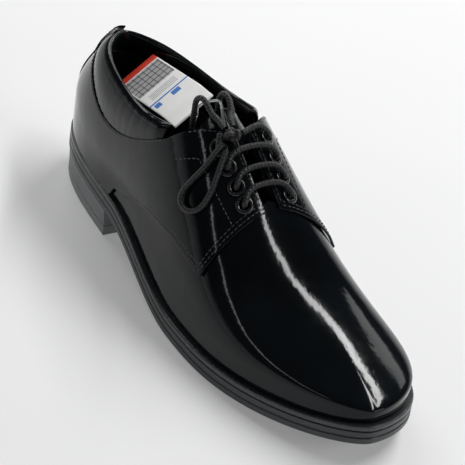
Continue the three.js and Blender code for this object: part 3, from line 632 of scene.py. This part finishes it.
bm = bmesh.new()
for side in (-1, 1):

    def vamp_point(u, v, side=side):
        lift = -90 + 180 * v
        start = follow(vamp_start, lift)
        return upper(start + (1 - start) * u, side, lift, 0)

    half = laid_grid(110, 90, vamp_point)
    if side > 0:
        bmesh.ops.reverse_faces(half, faces=half.faces)
    sheet = bpy.data.meshes.new("vamp_half")
    half.to_mesh(sheet)
    half.free()
    bm.from_mesh(sheet)
    bpy.data.meshes.remove(sheet)
bmesh.ops.remove_doubles(bm, verts=bm.verts, dist=2e-6)
bmesh.ops.dissolve_degenerate(bm, dist=1e-6, edges=bm.edges)
bmesh.ops.recalc_face_normals(bm, faces=bm.faces)
top_face = max(bm.faces, key=lambda face: face.calc_center_median().z)
if top_face.normal.z < 0:
    bmesh.ops.reverse_faces(bm, faces=bm.faces)
bmesh.ops.solidify(bm, geom=bm.faces, thickness=vamp_thickness * 0.001)
vamp = made("vamp_patent", bm, patent)
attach(vamp, "shoe")
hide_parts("vamp")

# ---- Quarters ----------------------------------------------------------------------------------------------
# The two quarters are patent leather too. They lap over the vamp, run to the back seam, and carry the
# eyelet facings. Their cut edges are rounded over and painted.
quarter_layer = (0.7, 1.9)
quarter_lining_layer = (-3.5, -2.6)
mouth_heights = (93, 92.5, 91.5, 90.5, 88, 86.5, 95)
collar_seam_heights = (80, 79.5, 78.5, 73, 62, 67, 88)
collar_end, collar_front = 0.44, 0.428
flap_station, flap_front = 0.581, 0.601
facing_back, facing_front, facing_edge = 0.452, 0.503, 4
first_eyelet, eyelet_spaces, eyelet_flange = 0.504, (2.05, 1.52, 0.48), 9.4
eyelet_stations = [first_eyelet]
for space in eyelet_spaces:
    reached = foot_length / 2 * (1 - math.cos(math.pi * eyelet_stations[-1])) + eyelet_flange + space
    eyelet_stations.append(math.acos(1 - 2 * reached / foot_length) / math.pi)
eyelet_from_ridge, eyelet_hole = 13, 7
seam_lifts = ((0.345, -90), (0.36, -29), (0.401, 2), (0.455, 13), (0.517, 22), (flap_station, 27))
quarter_sides = {-1: "lateral", 1: "medial"}


@lru_cache(maxsize=None)
def lift_at_height(station, side, height):
    low, high = -90.0, 90.0
    for _ in range(22):
        middle = (low + high) / 2
        if upper(station, side, middle, 0).z * 1000 < height:
            low = middle
        else:
            high = middle
    return low


def lift_at_ridge(station, side, distance):
    reach, square = outline(station, side)[2], section(station)[0]
    return math.degrees(math.acos((distance / reach) ** (square / 2)))


def instep(station, across, out):
    """A place over the instep, at a sideways distance from the ridge, negative on the outer side."""
    side = -1 if across < 0 else 1
    return upper(station, side, lift_at_ridge(station, side, abs(across)), out)


def mouth_height(station):
    return smooth(mouth_heights, station / collar_end)


def collar_seam(station):
    return smooth(collar_seam_heights, station / collar_end)


@lru_cache(maxsize=None)
def quarter_top(station, side):
    if station <= collar_end:
        return lift_at_height(station, side, collar_seam(station) - gap)
    opening = lift_at_ridge(station, side, facing_edge)
    if station >= facing_front:
        return opening
    start = lift_at_height(collar_end, side, collar_seam(collar_end) - gap)
    corner = lift_at_height(facing_back, side, mouth_heights[-1] - 1)
    return follow(((collar_end, start), (facing_back, corner), (facing_front, opening)), station)


def quarter_at(side, u, v, out):
    """A place on a quarter: u from the back seam to the throat, v from the welt and seam to the top edge."""
    foot, head = u * flap_station, u * flap_front
    low = -90 if foot < seam_lifts[0][0] else follow(seam_lifts, foot)
    lift = low + (quarter_top(head, side) - low) * v
    return upper(foot + (head - foot) * v, side, lift, out)


def eyelets(side):
    """The middle of each eyelet in a facing and the way it faces."""
    found = []
    for station in eyelet_stations:
        across = side * eyelet_from_ridge
        middle = instep(station, across, 0)
        forward = instep(station + 0.01, across, 0) - middle
        inward = instep(station, across + 2, 0) - middle
        found.append((middle, forward.cross(inward).normalized()))
    return found


def panel(name, material, u_steps, v_steps, place, layer, holes=(), rounding=0.0003):
    """A leather panel from its inner to its outer layer over place(u, v, out): a sheet is laid, punched,
    extruded inwards and rounded at its edges. Layers are in millimetres."""
    bm = laid_grid(u_steps, v_steps, lambda u, v: Vector((u, v, 0)))
    inwards = bm.verts.layers.float_vector.new("inwards")
    for vert in bm.verts:
        u, v = vert.co.xy
        vert.co = place(u, v, layer[1])
        vert[inwards] = place(u, v, layer[0]) - vert.co
    bmesh.ops.remove_doubles(bm, verts=bm.verts, dist=1e-6)
    for middle, facing in holes:

        def from_axis(point):
            return point - middle - facing * (point - middle).dot(facing)

        radius = eyelet_hole * 0.00055
        near = [
            face
            for face in bm.faces
            if (face.calc_center_median() - middle).length < 0.008
            and from_axis(face.calc_center_median()).length < radius
        ]
        rim = {vert for face in near for vert in face.verts}
        bmesh.ops.delete(bm, geom=near, context="FACES")
        for vert in rim:
            if vert.is_valid and vert.link_faces:
                away = from_axis(vert.co)
                vert.co += away.normalized() * radius - away
    walls = bmesh.ops.extrude_face_region(bm, geom=list(bm.faces))["geom"]
    for item in walls:
        if isinstance(item, bmesh.types.BMVert):
            item.co += item[inwards]
    bmesh.ops.recalc_face_normals(bm, faces=bm.faces)
    if rounding:
        bm.normal_update()
        sharp = [e for e in bm.edges if len(e.link_faces) == 2 and e.calc_face_angle(0) > math.radians(60)]
        bmesh.ops.bevel(
            bm, geom=sharp, offset=rounding, affect="EDGES", segments=2, profile=0.5, material=-1
        )
    return made(name, bm, material)


for side, side_name in quarter_sides.items():
    quarter = panel(
        "quarter_patent_" + side_name,
        patent,
        150,
        64,
        lambda u, v, out: quarter_at(side, 0.007 + 0.993 * u, v, out),
        quarter_layer,
        eyelets(side),
    )
    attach(quarter, "shoe")
    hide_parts("quarter_" + side_name)

# ---- Linings -----------------------------------------------------------------------------------------------
# Soft black leather lines the quarters from the welt to the top edge, and a second lining the toe.
quarter_lining_front, lining_drop = 0.597, 2


def lining_at(side, u, v, out):
    station = end_station + (quarter_lining_front - end_station) * u
    return upper(station, side, -90 + (quarter_top(station, side) - lining_drop + 90) * v, out)


for side, side_name in quarter_sides.items():
    quarter_lining = panel(
        "quarter_lining_leather_" + side_name,
        lining,
        90,
        40,
        lambda u, v, out: lining_at(side, u, v, out),
        quarter_lining_layer,
        eyelets(side),
        0,
    )
    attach(quarter_lining, "shoe")
    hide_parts("quarter_lining_" + side_name)

# ---- Padded collar -----------------------------------------------------------------------------------------
# Softer glossy leather is folded over a roll of foam round the mouth and stitched to the top of the
# quarters. It puckers along the stitches and creases where it bends in front of the ankle.
collar_depth, collar_thickness = 14, 0.9
collar_middle = (quarter_layer[1] + quarter_lining_layer[0]) / 2
collar_fold = (
    (0, quarter_layer[1] - 0.6), (0.45, quarter_layer[1] + 0.7), (0.82, quarter_layer[1] - 0.2),
    (1, collar_middle), (0.82, quarter_lining_layer[0] - 0.6), (0.45, quarter_lining_layer[0] - 1.7),
    (0, quarter_lining_layer[0] + 0.1),
)


def step_between(a, b, c, d, t):
    """A place on the smooth line from b to c, which comes from a and goes on to d."""
    leaving, arriving = (c - a) / 2, (d - b) / 2
    cube, square = 2 * b - 2 * c + leaving + arriving, 3 * c - 3 * b - 2 * leaving - arriving
    return cube * t**3 + square * t * t + leaving * t + b


@lru_cache(maxsize=None)
def fold_place(along):
    """Where the fold is, as (distance out, share of the way up), and how upright it is there."""
    points = [Vector((out, up * collar_depth)) for up, out in collar_fold]

    def at(share):
        place = min(max(share, 0), 1) * (len(points) - 1)
        i = min(int(place), len(points) - 2)
        before, after = points[max(i - 1, 0)], points[min(i + 2, len(points) - 1)]
        return step_between(before, points[i], points[i + 1], after, place - i)

    spot = at(along)
    run = (at(along + 1e-4) - at(along - 1e-4)).normalized()
    return spot, run


def collar_at(u, v, deep):
    station, side = abs(2 * u - 1) * collar_front, -1 if u < 0.5 else 1
    spot, run = fold_place(round(v, 6))
    puffed = math.sin(math.pi * min(v * 1.9, 1)) if v < 0.53 else 0
    pucker = 0.07 * math.sin(station * 430) * math.exp(-v * 16)
    bend = math.exp(-(((station - 0.37) / 0.05) ** 2))
    crease = -0.16 * bend * max(0, math.sin(station * 330 + 4.5 * v)) ** 3 * puffed
    slack = 0.05 * math.sin(station * 60 + 1.3 * side) * puffed
    closing = 1 - 0.55 * eased(station, collar_front - 0.009, collar_front)
    across = collar_middle + (spot.x - collar_middle) * closing
    out = across + 0.35 * puffed * (1 - v) * closing + pucker + crease + slack + run.y * deep
    seam = collar_seam(station)
    height = seam + (mouth_height(station) - seam) * spot.y / collar_depth + max(0, -run.x) * deep
    lift = lift_at_height(station, side, round(height, 4))
    return upper(station, side, lift, out)


soft_patent = patent_leather("soft_patent_leather", 0.16, 2.2)
collar = panel("collar_padded_leather", soft_patent, 240, 30, collar_at, (-collar_thickness, 0), (), 0)
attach(collar, "shoe")
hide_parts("collar")

# ---- Back strip --------------------------------------------------------------------------------------------
# A narrow strip of patent leather covers the back seam, from the welt up over the collar.
strip_front, strip_clearance, strip_thickness = 0.06, 0.5, 0.7


def strip_at(u, v, out):
    station, side = abs(2 * u - 1) * strip_front, -1 if u < 0.5 else 1
    top = lift_at_height(station, side, mouth_height(station) - 3)
    lift = -80 + (top + 80) * v
    height = upper(station, side, lift, 0).z * 1000
    over = eased(height, collar_seam(station) - 10, collar_seam(station) - 1)
    return upper(station, side, lift, quarter_layer[1] + strip_clearance + over * 1.6 + out)


back_strip = panel("back_strip_patent", patent, 24, 60, strip_at, (0, strip_thickness), (), 0.00022)
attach(back_strip, "shoe")
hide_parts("back_strip")

# ---- Tongue ------------------------------------------------------------------------------------------------
# The tongue is soft glossy leather with its own lining. It lies under the laces, is stitched in at the
# throat, and gives a little when it is pressed.
tongue_thickness, tongue_lining_thickness = 1.8, 0.8
tongue_back, tongue_front = 0.443, 0.615
tongue_back_half, tongue_front_half = 27, 19
tongue_outer = -10.2


@lru_cache(maxsize=None)
def tongue_rib(station, across, out):
    return instep(station, across, out)


def tongue_at(u, v, out):
    """A place on the tongue, drawn smoothly through nine places across the instep."""
    station = tongue_back + (tongue_front - tongue_back) * u
    half = tongue_back_half + (tongue_front_half - tongue_back_half) * u
    half *= 1 - 0.3 * max(0, 1 - u / 0.1) ** 2
    dip = eased(station, tongue_front - 0.03, tongue_front)
    outer = tongue_outer + (vamp_lining_layer[0] - 2 * gap - tongue_outer) * dip + out
    ribs = [tongue_rib(station, round(half * (k / 4 - 1), 9), outer) for k in range(-1, 10)]
    k = min(int(v * 8), 7)
    return step_between(*ribs[k : k + 4], v * 8 - k)


tongue = panel("tongue_leather", soft_patent, 90, 48, tongue_at, (-tongue_thickness, 0), (), 0.0004)
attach(tongue, "tongue")
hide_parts("tongue")
tongue_lining = panel(
    "tongue_lining_leather",
    lining,
    40,
    24,
    tongue_at,
    (-tongue_thickness - 2 * gap - tongue_lining_thickness, -tongue_thickness - 2 * gap),
    (),
    0,
)
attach(tongue_lining, "tongue")
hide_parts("tongue_lining")

# ---- Stitching ---------------------------------------------------------------------------------------------
# Waxed black thread: two rows along each quarter's seam and flap, one round the facings, one under the
# collar, one behind the eyelets and one down each edge of the back strip.
stitch_length, stitch_space, stitch_width = 2.1, 0.55, 0.62
seam_insets, facing_inset, collar_row_inset, eyelet_row_inset = (1.8, 4.0), 2.2, 1.3, 19.5
proud = 0.08


def sewn(bm, spots):
    """Lays stitches along a fine line of (place, outward) spots."""
    run = 0.0
    start = spots[0]
    sewing = True
    for before, spot in zip(spots, spots[1:]):
        run += (spot[0] - before[0]).length * 1000
        if run < (stitch_length if sewing else stitch_space):
            continue
        if sewing:
            ahead = (spot[0] - start[0]).normalized()
            side = spot[1].cross(ahead).normalized()
            size = Matrix.Diagonal((stitch_width / 2, stitch_width * 0.45, stitch_length / 2)).to_4x4()
            turn = Matrix((side, ahead.cross(side) * -1, ahead)).transposed().to_4x4()
            place = Matrix.Translation((spot[0] + start[0]) / 2)
            bmesh.ops.create_uvsphere(
                bm, u_segments=6, v_segments=5, radius=0.001, matrix=place @ turn @ size
            )
        run, start, sewing = 0.0, spot, not sewing


def spots_on(place, path, steps=60):
    """Spots along straight runs between (u, v) pairs on a panel; place(u, v, out) gives the surface."""
    spots = []
    for (u0, v0), (u1, v1) in zip(path, path[1:]):
        for i in range(steps):
            u, v = u0 + (u1 - u0) * i / steps, v0 + (v1 - v0) * i / steps
            point, outer = place(u, v, 0.0), place(u, v, 1.0)
            spots.append((point, (outer - point).normalized()))
    return spots


def top_row(surface, first, last, count, inset, steps):
    """Spots along a panel's top edge, an inset in millimetres below it."""
    path = []
    for i in range(count):
        u = first + (last - first) * i / (count - 1)
        height = (surface(u, 1, 0) - surface(u, 0.98, 0)).length * 1000 / 0.02
        path.append((u, 1 - inset / height))
    return spots_on(surface, path, steps)


thread, tree, shader = stuff("waxed_thread", (0.01, 0.01, 0.011), 0.35)
tree.links.new(shades(tree, grain(tree, 2600, 2), (0.02, 0.021, 0.022), (0.075, 0.078, 0.08)),
          shader.inputs["Base Color"])
relief(tree, shader, grain(tree, 5200, 1, (1, 1, 3)), 0.0001, 0.8)

for side, side_name in quarter_sides.items():
    stitched = lambda u, v, out: quarter_at(side, u, v, quarter_layer[1] + proud + out)
    bm = bmesh.new()
    seam_start, seam_end, seam_spots = seam_lifts[0][0] / flap_station + 0.004, 0.999, 900
    for inset in seam_insets:
        spots = []
        for i in range(seam_spots):
            u = seam_start + (seam_end - seam_start) * i / (seam_spots - 1)
            edge = stitched(u, 0, 0)
            ahead = (stitched(u + 0.001, 0, 0) - stitched(u - 0.001, 0, 0)).normalized()
            facing = (stitched(u, 0.01, 1) - stitched(u, 0.01, 0)).normalized()
            inwards = (stitched(u, 0.05, 0) - edge).cross(ahead).cross(ahead) * -1
            inwards = (inwards - facing * inwards.dot(facing)).normalized()
            curve = inset * inset / 95
            spot = edge + (inwards * inset - facing * curve) * 0.001
            if not spots or (spot - spots[-1][0]).dot(ahead) > 0:
                spots.append((spot, facing))
        run = (stitched(1, 0.3, 0) - stitched(0.98, 0.3, 0)).length * 1000 / 0.02
        front = [(1 - inset / run, 0.08), (1 - inset / run, 1 - inset / 70)]
        sewn(bm, [spot for spot in spots if (spot[0] - stitched(1, 0, 0)).length > inset * 0.0012])
        sewn(bm, spots_on(stitched, front, 300))
    sewn(bm, top_row(stitched, 0.985, 0.765, 30, facing_inset, 30))
    sewn(bm, top_row(stitched, 0.03, 0.725, 60, collar_row_inset, 12))
    sewn(bm, top_row(stitched, 0.79, 0.985, 30, eyelet_row_inset, 30))
    stitches = made("quarter_stitches_" + side_name, bm, thread)
    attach(stitches, "shoe")

bm = bmesh.new()
for u in (0.1, 0.9):
    on_strip = lambda u, v, out: strip_at(u, v, strip_thickness + proud + out)
    sewn(bm, spots_on(on_strip, ((u, 0.02), (u, 0.98)), 700))
strip_stitches = made("strip_stitches", bm, thread)
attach(strip_stitches, "shoe")

# ---- Eyelets -----------------------------------------------------------------------------------------------
# Eight black enamelled brass eyelets: each is a turned barrel with a flat flange outside and a curl inside.
curl_high = quarter_lining_layer[0] - 3 * gap
curl_low = curl_high - 0.5
flange_low = quarter_layer[1] + gap
eyelet_bore, eyelet_barrel = 5.6, 6.4
eyelet_profile = (
    (eyelet_bore / 2, curl_low + 0.15), (eyelet_bore / 2 + 0.2, curl_low),
    (eyelet_barrel / 2 + 0.7, curl_low), (eyelet_barrel / 2 + 0.9, curl_low + 0.25),
    (eyelet_barrel / 2 + 0.7, curl_high), (eyelet_barrel / 2, curl_high), (eyelet_barrel / 2, flange_low),
    (eyelet_flange / 2 - 0.15, flange_low), (eyelet_flange / 2, flange_low + 0.2),
    (eyelet_flange / 2 - 0.25, flange_low + 0.45), (eyelet_flange / 2 - 0.8, flange_low + 0.6),
    (eyelet_bore / 2 + 0.5, flange_low + 0.6), (eyelet_bore / 2 + 0.12, flange_low + 0.45),
    (eyelet_bore / 2, flange_low + 0.1),
)
enamel, tree, shader = stuff("black_enamel", (0.006, 0.006, 0.007), 0.25, Coat_Weight=0.6)
tree.links.new(shades(tree, grain(tree, 900, 4), 0.18, 0.42), shader.inputs["Roughness"])
relief(tree, shader, grain(tree, 1500, 3), 0.00004, 0.6)
for side, side_name in quarter_sides.items():
    for i, (middle, facing) in enumerate(eyelets(side), 1):
        bm = bmesh.new()
        ring = [bm.verts.new((radius * 0.001, 0, height * 0.001)) for radius, height in eyelet_profile]
        edges = [bm.edges.new(pair) for pair in zip(ring, ring[1:] + ring[:1])]
        bmesh.ops.spin(
            bm, geom=ring + edges, cent=(0, 0, 0), axis=(0, 0, 1), angle=2 * math.pi, steps=36, use_merge=True
        )
        bmesh.ops.remove_doubles(bm, verts=bm.verts, dist=1e-6)
        bmesh.ops.recalc_face_normals(bm, faces=bm.faces)
        standing = Matrix.Translation(middle) @ facing.to_track_quat("Z", "Y").to_matrix().to_4x4()
        bmesh.ops.transform(bm, matrix=standing, verts=bm.verts)
        eyelet = made(f"eyelet_enamelled_{side_name}_{i}", bm, enamel)
        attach(eyelet, "shoe")
        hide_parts(f"eyelet_{side_name}_{i}")

# ---- Lace and knot -----------------------------------------------------------------------------------------
# One lace runs straight across every row and under the facings between rows, and both its ends come up
# at the top pair of eyelets into the knot of a half bow.
lace_mm = lace_width * 1000
lace_straight = lace_mm / 2 - 0.7
lace_under = curl_low - 4 * gap - lace_mm / 2
lace_over = flange_low + 0.6 + 4 * gap + lace_mm / 2
flange_high = flange_low + 0.6
rows = {side: eyelets(side) for side in (-1, 1)}
side_run = lace_mm + 2 * gap


def through(side, row, out):
    middle, facing = rows[side][row]
    return middle + facing * (out * 0.001)


def aside(side, row, shift):
    return instep(eyelet_stations[row], side * (eyelet_from_ridge + shift), lace_under)


def lace_bar(row, start):
    """One straight bar, up through one side's eyelet, across the row and down through the other's."""
    up = [through(start, row, out) for out in (curl_low - lace_straight, 0, flange_high + lace_straight)]
    down = [through(-start, row, out) for out in (flange_high + lace_straight, 0, curl_low - lace_straight)]
    across = [
        instep(eyelet_stations[row], start * eyelet_from_ridge * share, lace_over)
        for share in (0.72, 0.4, -0.4, -0.72)
    ]
    return [*up, *across, *down]


lace_points = [
    knot + Vector((-0.0032, -0.0054, 0)),
    through(-1, 0, flange_high + lace_straight),
    through(-1, 0, 0),
    through(-1, 0, curl_low - lace_straight),
    aside(-1, 0, 0.4).lerp(aside(-1, 1, 0.4), 0.25),
    aside(-1, 0, 0.4).lerp(aside(-1, 1, 0.4), 0.75),
    *lace_bar(1, -1),
    aside(1, 1, -0.8).lerp(aside(1, 2, -side_run), 0.35),
    aside(1, 2, -side_run),
    aside(1, 3, -1.2).lerp(aside(1, 2, -side_run), 0.35),
    *lace_bar(3, 1),
    aside(-1, 3, 0.4).lerp(aside(-1, 2, 0.4), 0.3),
    aside(-1, 3, 0.4).lerp(aside(-1, 2, 0.4), 0.7),
    *lace_bar(2, -1),
    aside(1, 2, 1.2).lerp(aside(1, 1, side_run), 0.35),
    aside(1, 1, side_run),
    aside(1, 0, 0.8).lerp(aside(1, 1, side_run), 0.35),
    through(1, 0, curl_low - lace_straight),
    through(1, 0, 0),
    through(1, 0, flange_high + lace_straight),
    instep(eyelet_stations[0], 7, lace_over),
    knot + Vector((-0.001, 0.0064, -0.0006)),
]
lace = lace_tube("lace_braided", strand(lace_points, 0.0004), lace_width, cotton, 16)
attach(lace, "shoe")
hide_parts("lace")

knot_reach = Vector((0.00086, 0.00118, 0.00165))
knot_points = []
for i in range(48):
    t = 2 * math.pi * i / 48
    wrap = Vector((math.sin(t) + 2 * math.sin(2 * t), math.cos(t) - 2 * math.cos(2 * t), -math.sin(3 * t)))
    knot_points.append(knot + Vector(a * b for a, b in zip(wrap, knot_reach)))
knot_line = strand([*knot_points, knot_points[0]], 0.0004)
lace_knot = lace_tube("lace_knot_wraps", knot_line, lace_width, cotton, 16)
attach(lace_knot, "shoe")
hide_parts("lace_knot")

# ---- Hang tag ----------------------------------------------------------------------------------------------
# A coated card, printed in plain ruled boxes and bars, lies across the mouth. Its front end bends
# down, and a clear moulded toggle there holds it on a short clear string.
tag_length, tag_width, tag_thickness = 72, 26, 1.2
tag_droop, tag_fold_length = 3, 14
tag_middle = Vector((72.2, -2.8, 86))
tag_turn = (
    Matrix.Rotation(math.radians(-4.9), 3, "Z")
    @ Matrix.Rotation(math.radians(-15.7), 3, "Y")
    @ Matrix.Rotation(math.radians(34.9), 3, "X")
)


def on_tag(x, y, z):
    point = tag_turn @ Vector((x, y, z)) + tag_middle
    return in_frame(*point)


def tag_at(u, v, out):
    x, y = tag_length * (u - 0.5), tag_width * (v - 0.5)
    droop = tag_droop * eased(x, tag_length / 2 - tag_fold_length, tag_length / 2)
    return on_tag(x, y, out - droop)


def printed_card():
    """White coated card: a red end, a ruled table, bars for lines of print, and a blue stripe and boxes. Its
    colours also feed a weak emission: painted light that keeps the card bright where the mouth shades it."""
    material, tree, shader = stuff("printed_card", (0.86, 0.86, 0.84), 0.38)
    uv = tree.nodes.new("ShaderNodeUVMap")
    uv.uv_map = "UVMap"
    parts = tree.nodes.new("ShaderNodeSeparateXYZ")
    tree.links.new(uv.outputs["UV"], parts.inputs["Vector"])
    u, v = parts.outputs["X"], parts.outputs["Y"]

    def within(value, low, high):
        over = sums(tree, "GREATER_THAN", value, low)
        return sums(tree, "MULTIPLY", over, sums(tree, "LESS_THAN", value, high))

    def ruled(value, pitch, share):
        places = sums(tree, "FRACT", sums(tree, "DIVIDE", value, pitch))
        return sums(tree, "LESS_THAN", places, share)

    def inked(colour_now, where, ink):
        mix = tree.nodes.new("ShaderNodeMix")
        mix.data_type = "RGBA"
        tree.links.new(where, mix.inputs["Factor"])
        tree.links.new(colour_now, mix.inputs["A"])
        mix.inputs["B"].default_value = (*ink, 1)
        return mix.outputs["Result"]

    paper = shades(tree, grain(tree, 500, 4), (0.86, 0.86, 0.84), (0.94, 0.94, 0.92))
    table = sums(tree, "MULTIPLY", within(u, 0.1, 0.42), within(v, 0.03, 0.97))
    rules = sums(tree, "MAXIMUM", ruled(u, 0.064, 0.2), ruled(v, 0.133, 0.13))
    bars = sums(tree, "MULTIPLY", ruled(u, 0.024, 0.4), within(v, 0.15, 0.84))
    print_area = sums(tree, "MULTIPLY", bars, within(u, 0.47, 0.57))
    shown = inked(paper, table, (0.42, 0.42, 0.42))
    shown = inked(shown, sums(tree, "MULTIPLY", table, rules), (0.07, 0.07, 0.075))
    shown = inked(shown, print_area, (0.35, 0.36, 0.38))
    shown = inked(shown, within(u, 0.0, 0.085), (0.75, 0.06, 0.035))
    shown = inked(shown, within(u, 0.61, 0.63), (0.05, 0.19, 0.55))
    boxes = sums(tree, "MULTIPLY", within(u, 0.645, 0.71), within(v, 0.06, 0.94))
    halves = ruled(v, 0.5, 0.42)
    shown = inked(shown, sums(tree, "MULTIPLY", boxes, halves), (0.06, 0.2, 0.58))
    tree.links.new(shown, shader.inputs["Base Color"])
    # The printed colours are fed to the emission too: painted light, a glow that brightens the card in the
    # shade of the mouth.
    tree.links.new(shown, shader.inputs["Emission Color"])
    shader.inputs["Emission Strength"].default_value = 0.16
    tree.links.new(shades(tree, grain(tree, 300, 3), 0.3, 0.48), shader.inputs["Roughness"])
    relief(tree, shader, grain(tree, 1600, 4), 0.00003, 0.6)
    return material


hang_tag = panel(
    "hang_tag_card", printed_card(), 60, 24, tag_at, (-tag_thickness / 2, tag_thickness / 2), (), 0.0002
)
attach(hang_tag, "tag")
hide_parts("hang_tag")

clear_plastic, tree, shader = stuff("clear_plastic", (0.85, 0.87, 0.87), 0.12)
shader.inputs["Transmission Weight"].default_value = 0.7
tree.links.new(shades(tree, grain(tree, 500, 3), 0.08, 0.25), shader.inputs["Roughness"])
relief(tree, shader, grain(tree, 900, 2), 0.00005, 0.4)
tag_end = tag_turn @ Vector((tag_length / 2, -2, -tag_droop)) + tag_middle
toggle_centre = in_frame(tag_end.x + 3, tag_end.y, tag_end.z - 0.5)
bm = bmesh.new()
bmesh.ops.create_uvsphere(
    bm,
    u_segments=20,
    v_segments=12,
    radius=0.0005,
    matrix=Matrix.Translation(toggle_centre) @ Matrix.Diagonal((4.5, 3, 3, 1)),
)
tag_toggle = made("tag_toggle_clear", bm, clear_plastic)
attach(tag_toggle, "tag")
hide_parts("tag_toggle")

string_width = 1.4
string_out = tongue_outer + string_width / 2 + 2 * gap
string_points = [
    in_frame(tag_end.x + 5.4, tag_end.y, tag_end.z + 1.6),
    in_frame(tag_end.x + 6.6, tag_end.y, tag_end.z + 9),
    instep(tongue_back - 0.004, -4, string_out + 1.2),
    instep(tongue_back + 0.015, -6, string_out + 0.4),
    instep(tongue_back + 0.035, -9, string_out),
    instep(eyelet_stations[0] - 0.024, -12, string_out + 0.4),
]
string_line = strand(string_points, 0.0005)
tag_string = lace_tube("tag_string_clear", string_line, string_width * 0.001, clear_plastic, 12)
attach(tag_string, "shoe")
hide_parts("tag_string")

# ---- Hidden pieces -----------------------------------------------------------------------------------------
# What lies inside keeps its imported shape: the fibre board insole, cork filler, steel shank and nails, the
# stiffeners in toe, heel and facings, the foam in the collar, and the toe's lining.
hidden_finishes = (
    ("fibre_board", (0.36, 0.28, 0.17), (0.5, 0.4, 0.26), 0.85, 900, ("insole_board",)),
    ("pressed_cork", (0.28, 0.16, 0.08), (0.5, 0.32, 0.18), 0.9, 600, ("cork_filler",)),
    ("stiffener_sheet", (0.42, 0.37, 0.28), (0.55, 0.49, 0.38), 0.7, 700,
     ("toe_puff", "heel_counter", "facing_stay_lateral", "facing_stay_medial")),
    ("collar_foam_cells", (0.6, 0.57, 0.48), (0.75, 0.72, 0.62), 0.95, 1500, ("collar_foam",)),
    ("dull_steel", (0.45, 0.46, 0.48), (0.62, 0.63, 0.65), 0.38, 800,
     ("shank", "heel_nail_1", "heel_nail_2", "heel_nail_3", "heel_nail_4", "heel_nail_5")),
)
for name, dark, light, roughness, scale, members in hidden_finishes:
    material, tree, shader = stuff(name, dark, roughness)
    if name == "dull_steel":
        shader.inputs["Metallic"].default_value = 1.0
    texture = grain(tree, scale, 5)
    tree.links.new(shades(tree, texture, dark, light), shader.inputs["Base Color"])
    relief(tree, shader, texture, 0.0002, 0.6)
    for node in members:
        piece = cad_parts[node]
        piece.data.materials.clear()
        piece.data.materials.append(material)
vamp_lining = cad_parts["vamp_lining"]
vamp_lining.data.materials.clear()
vamp_lining.data.materials.append(lining)
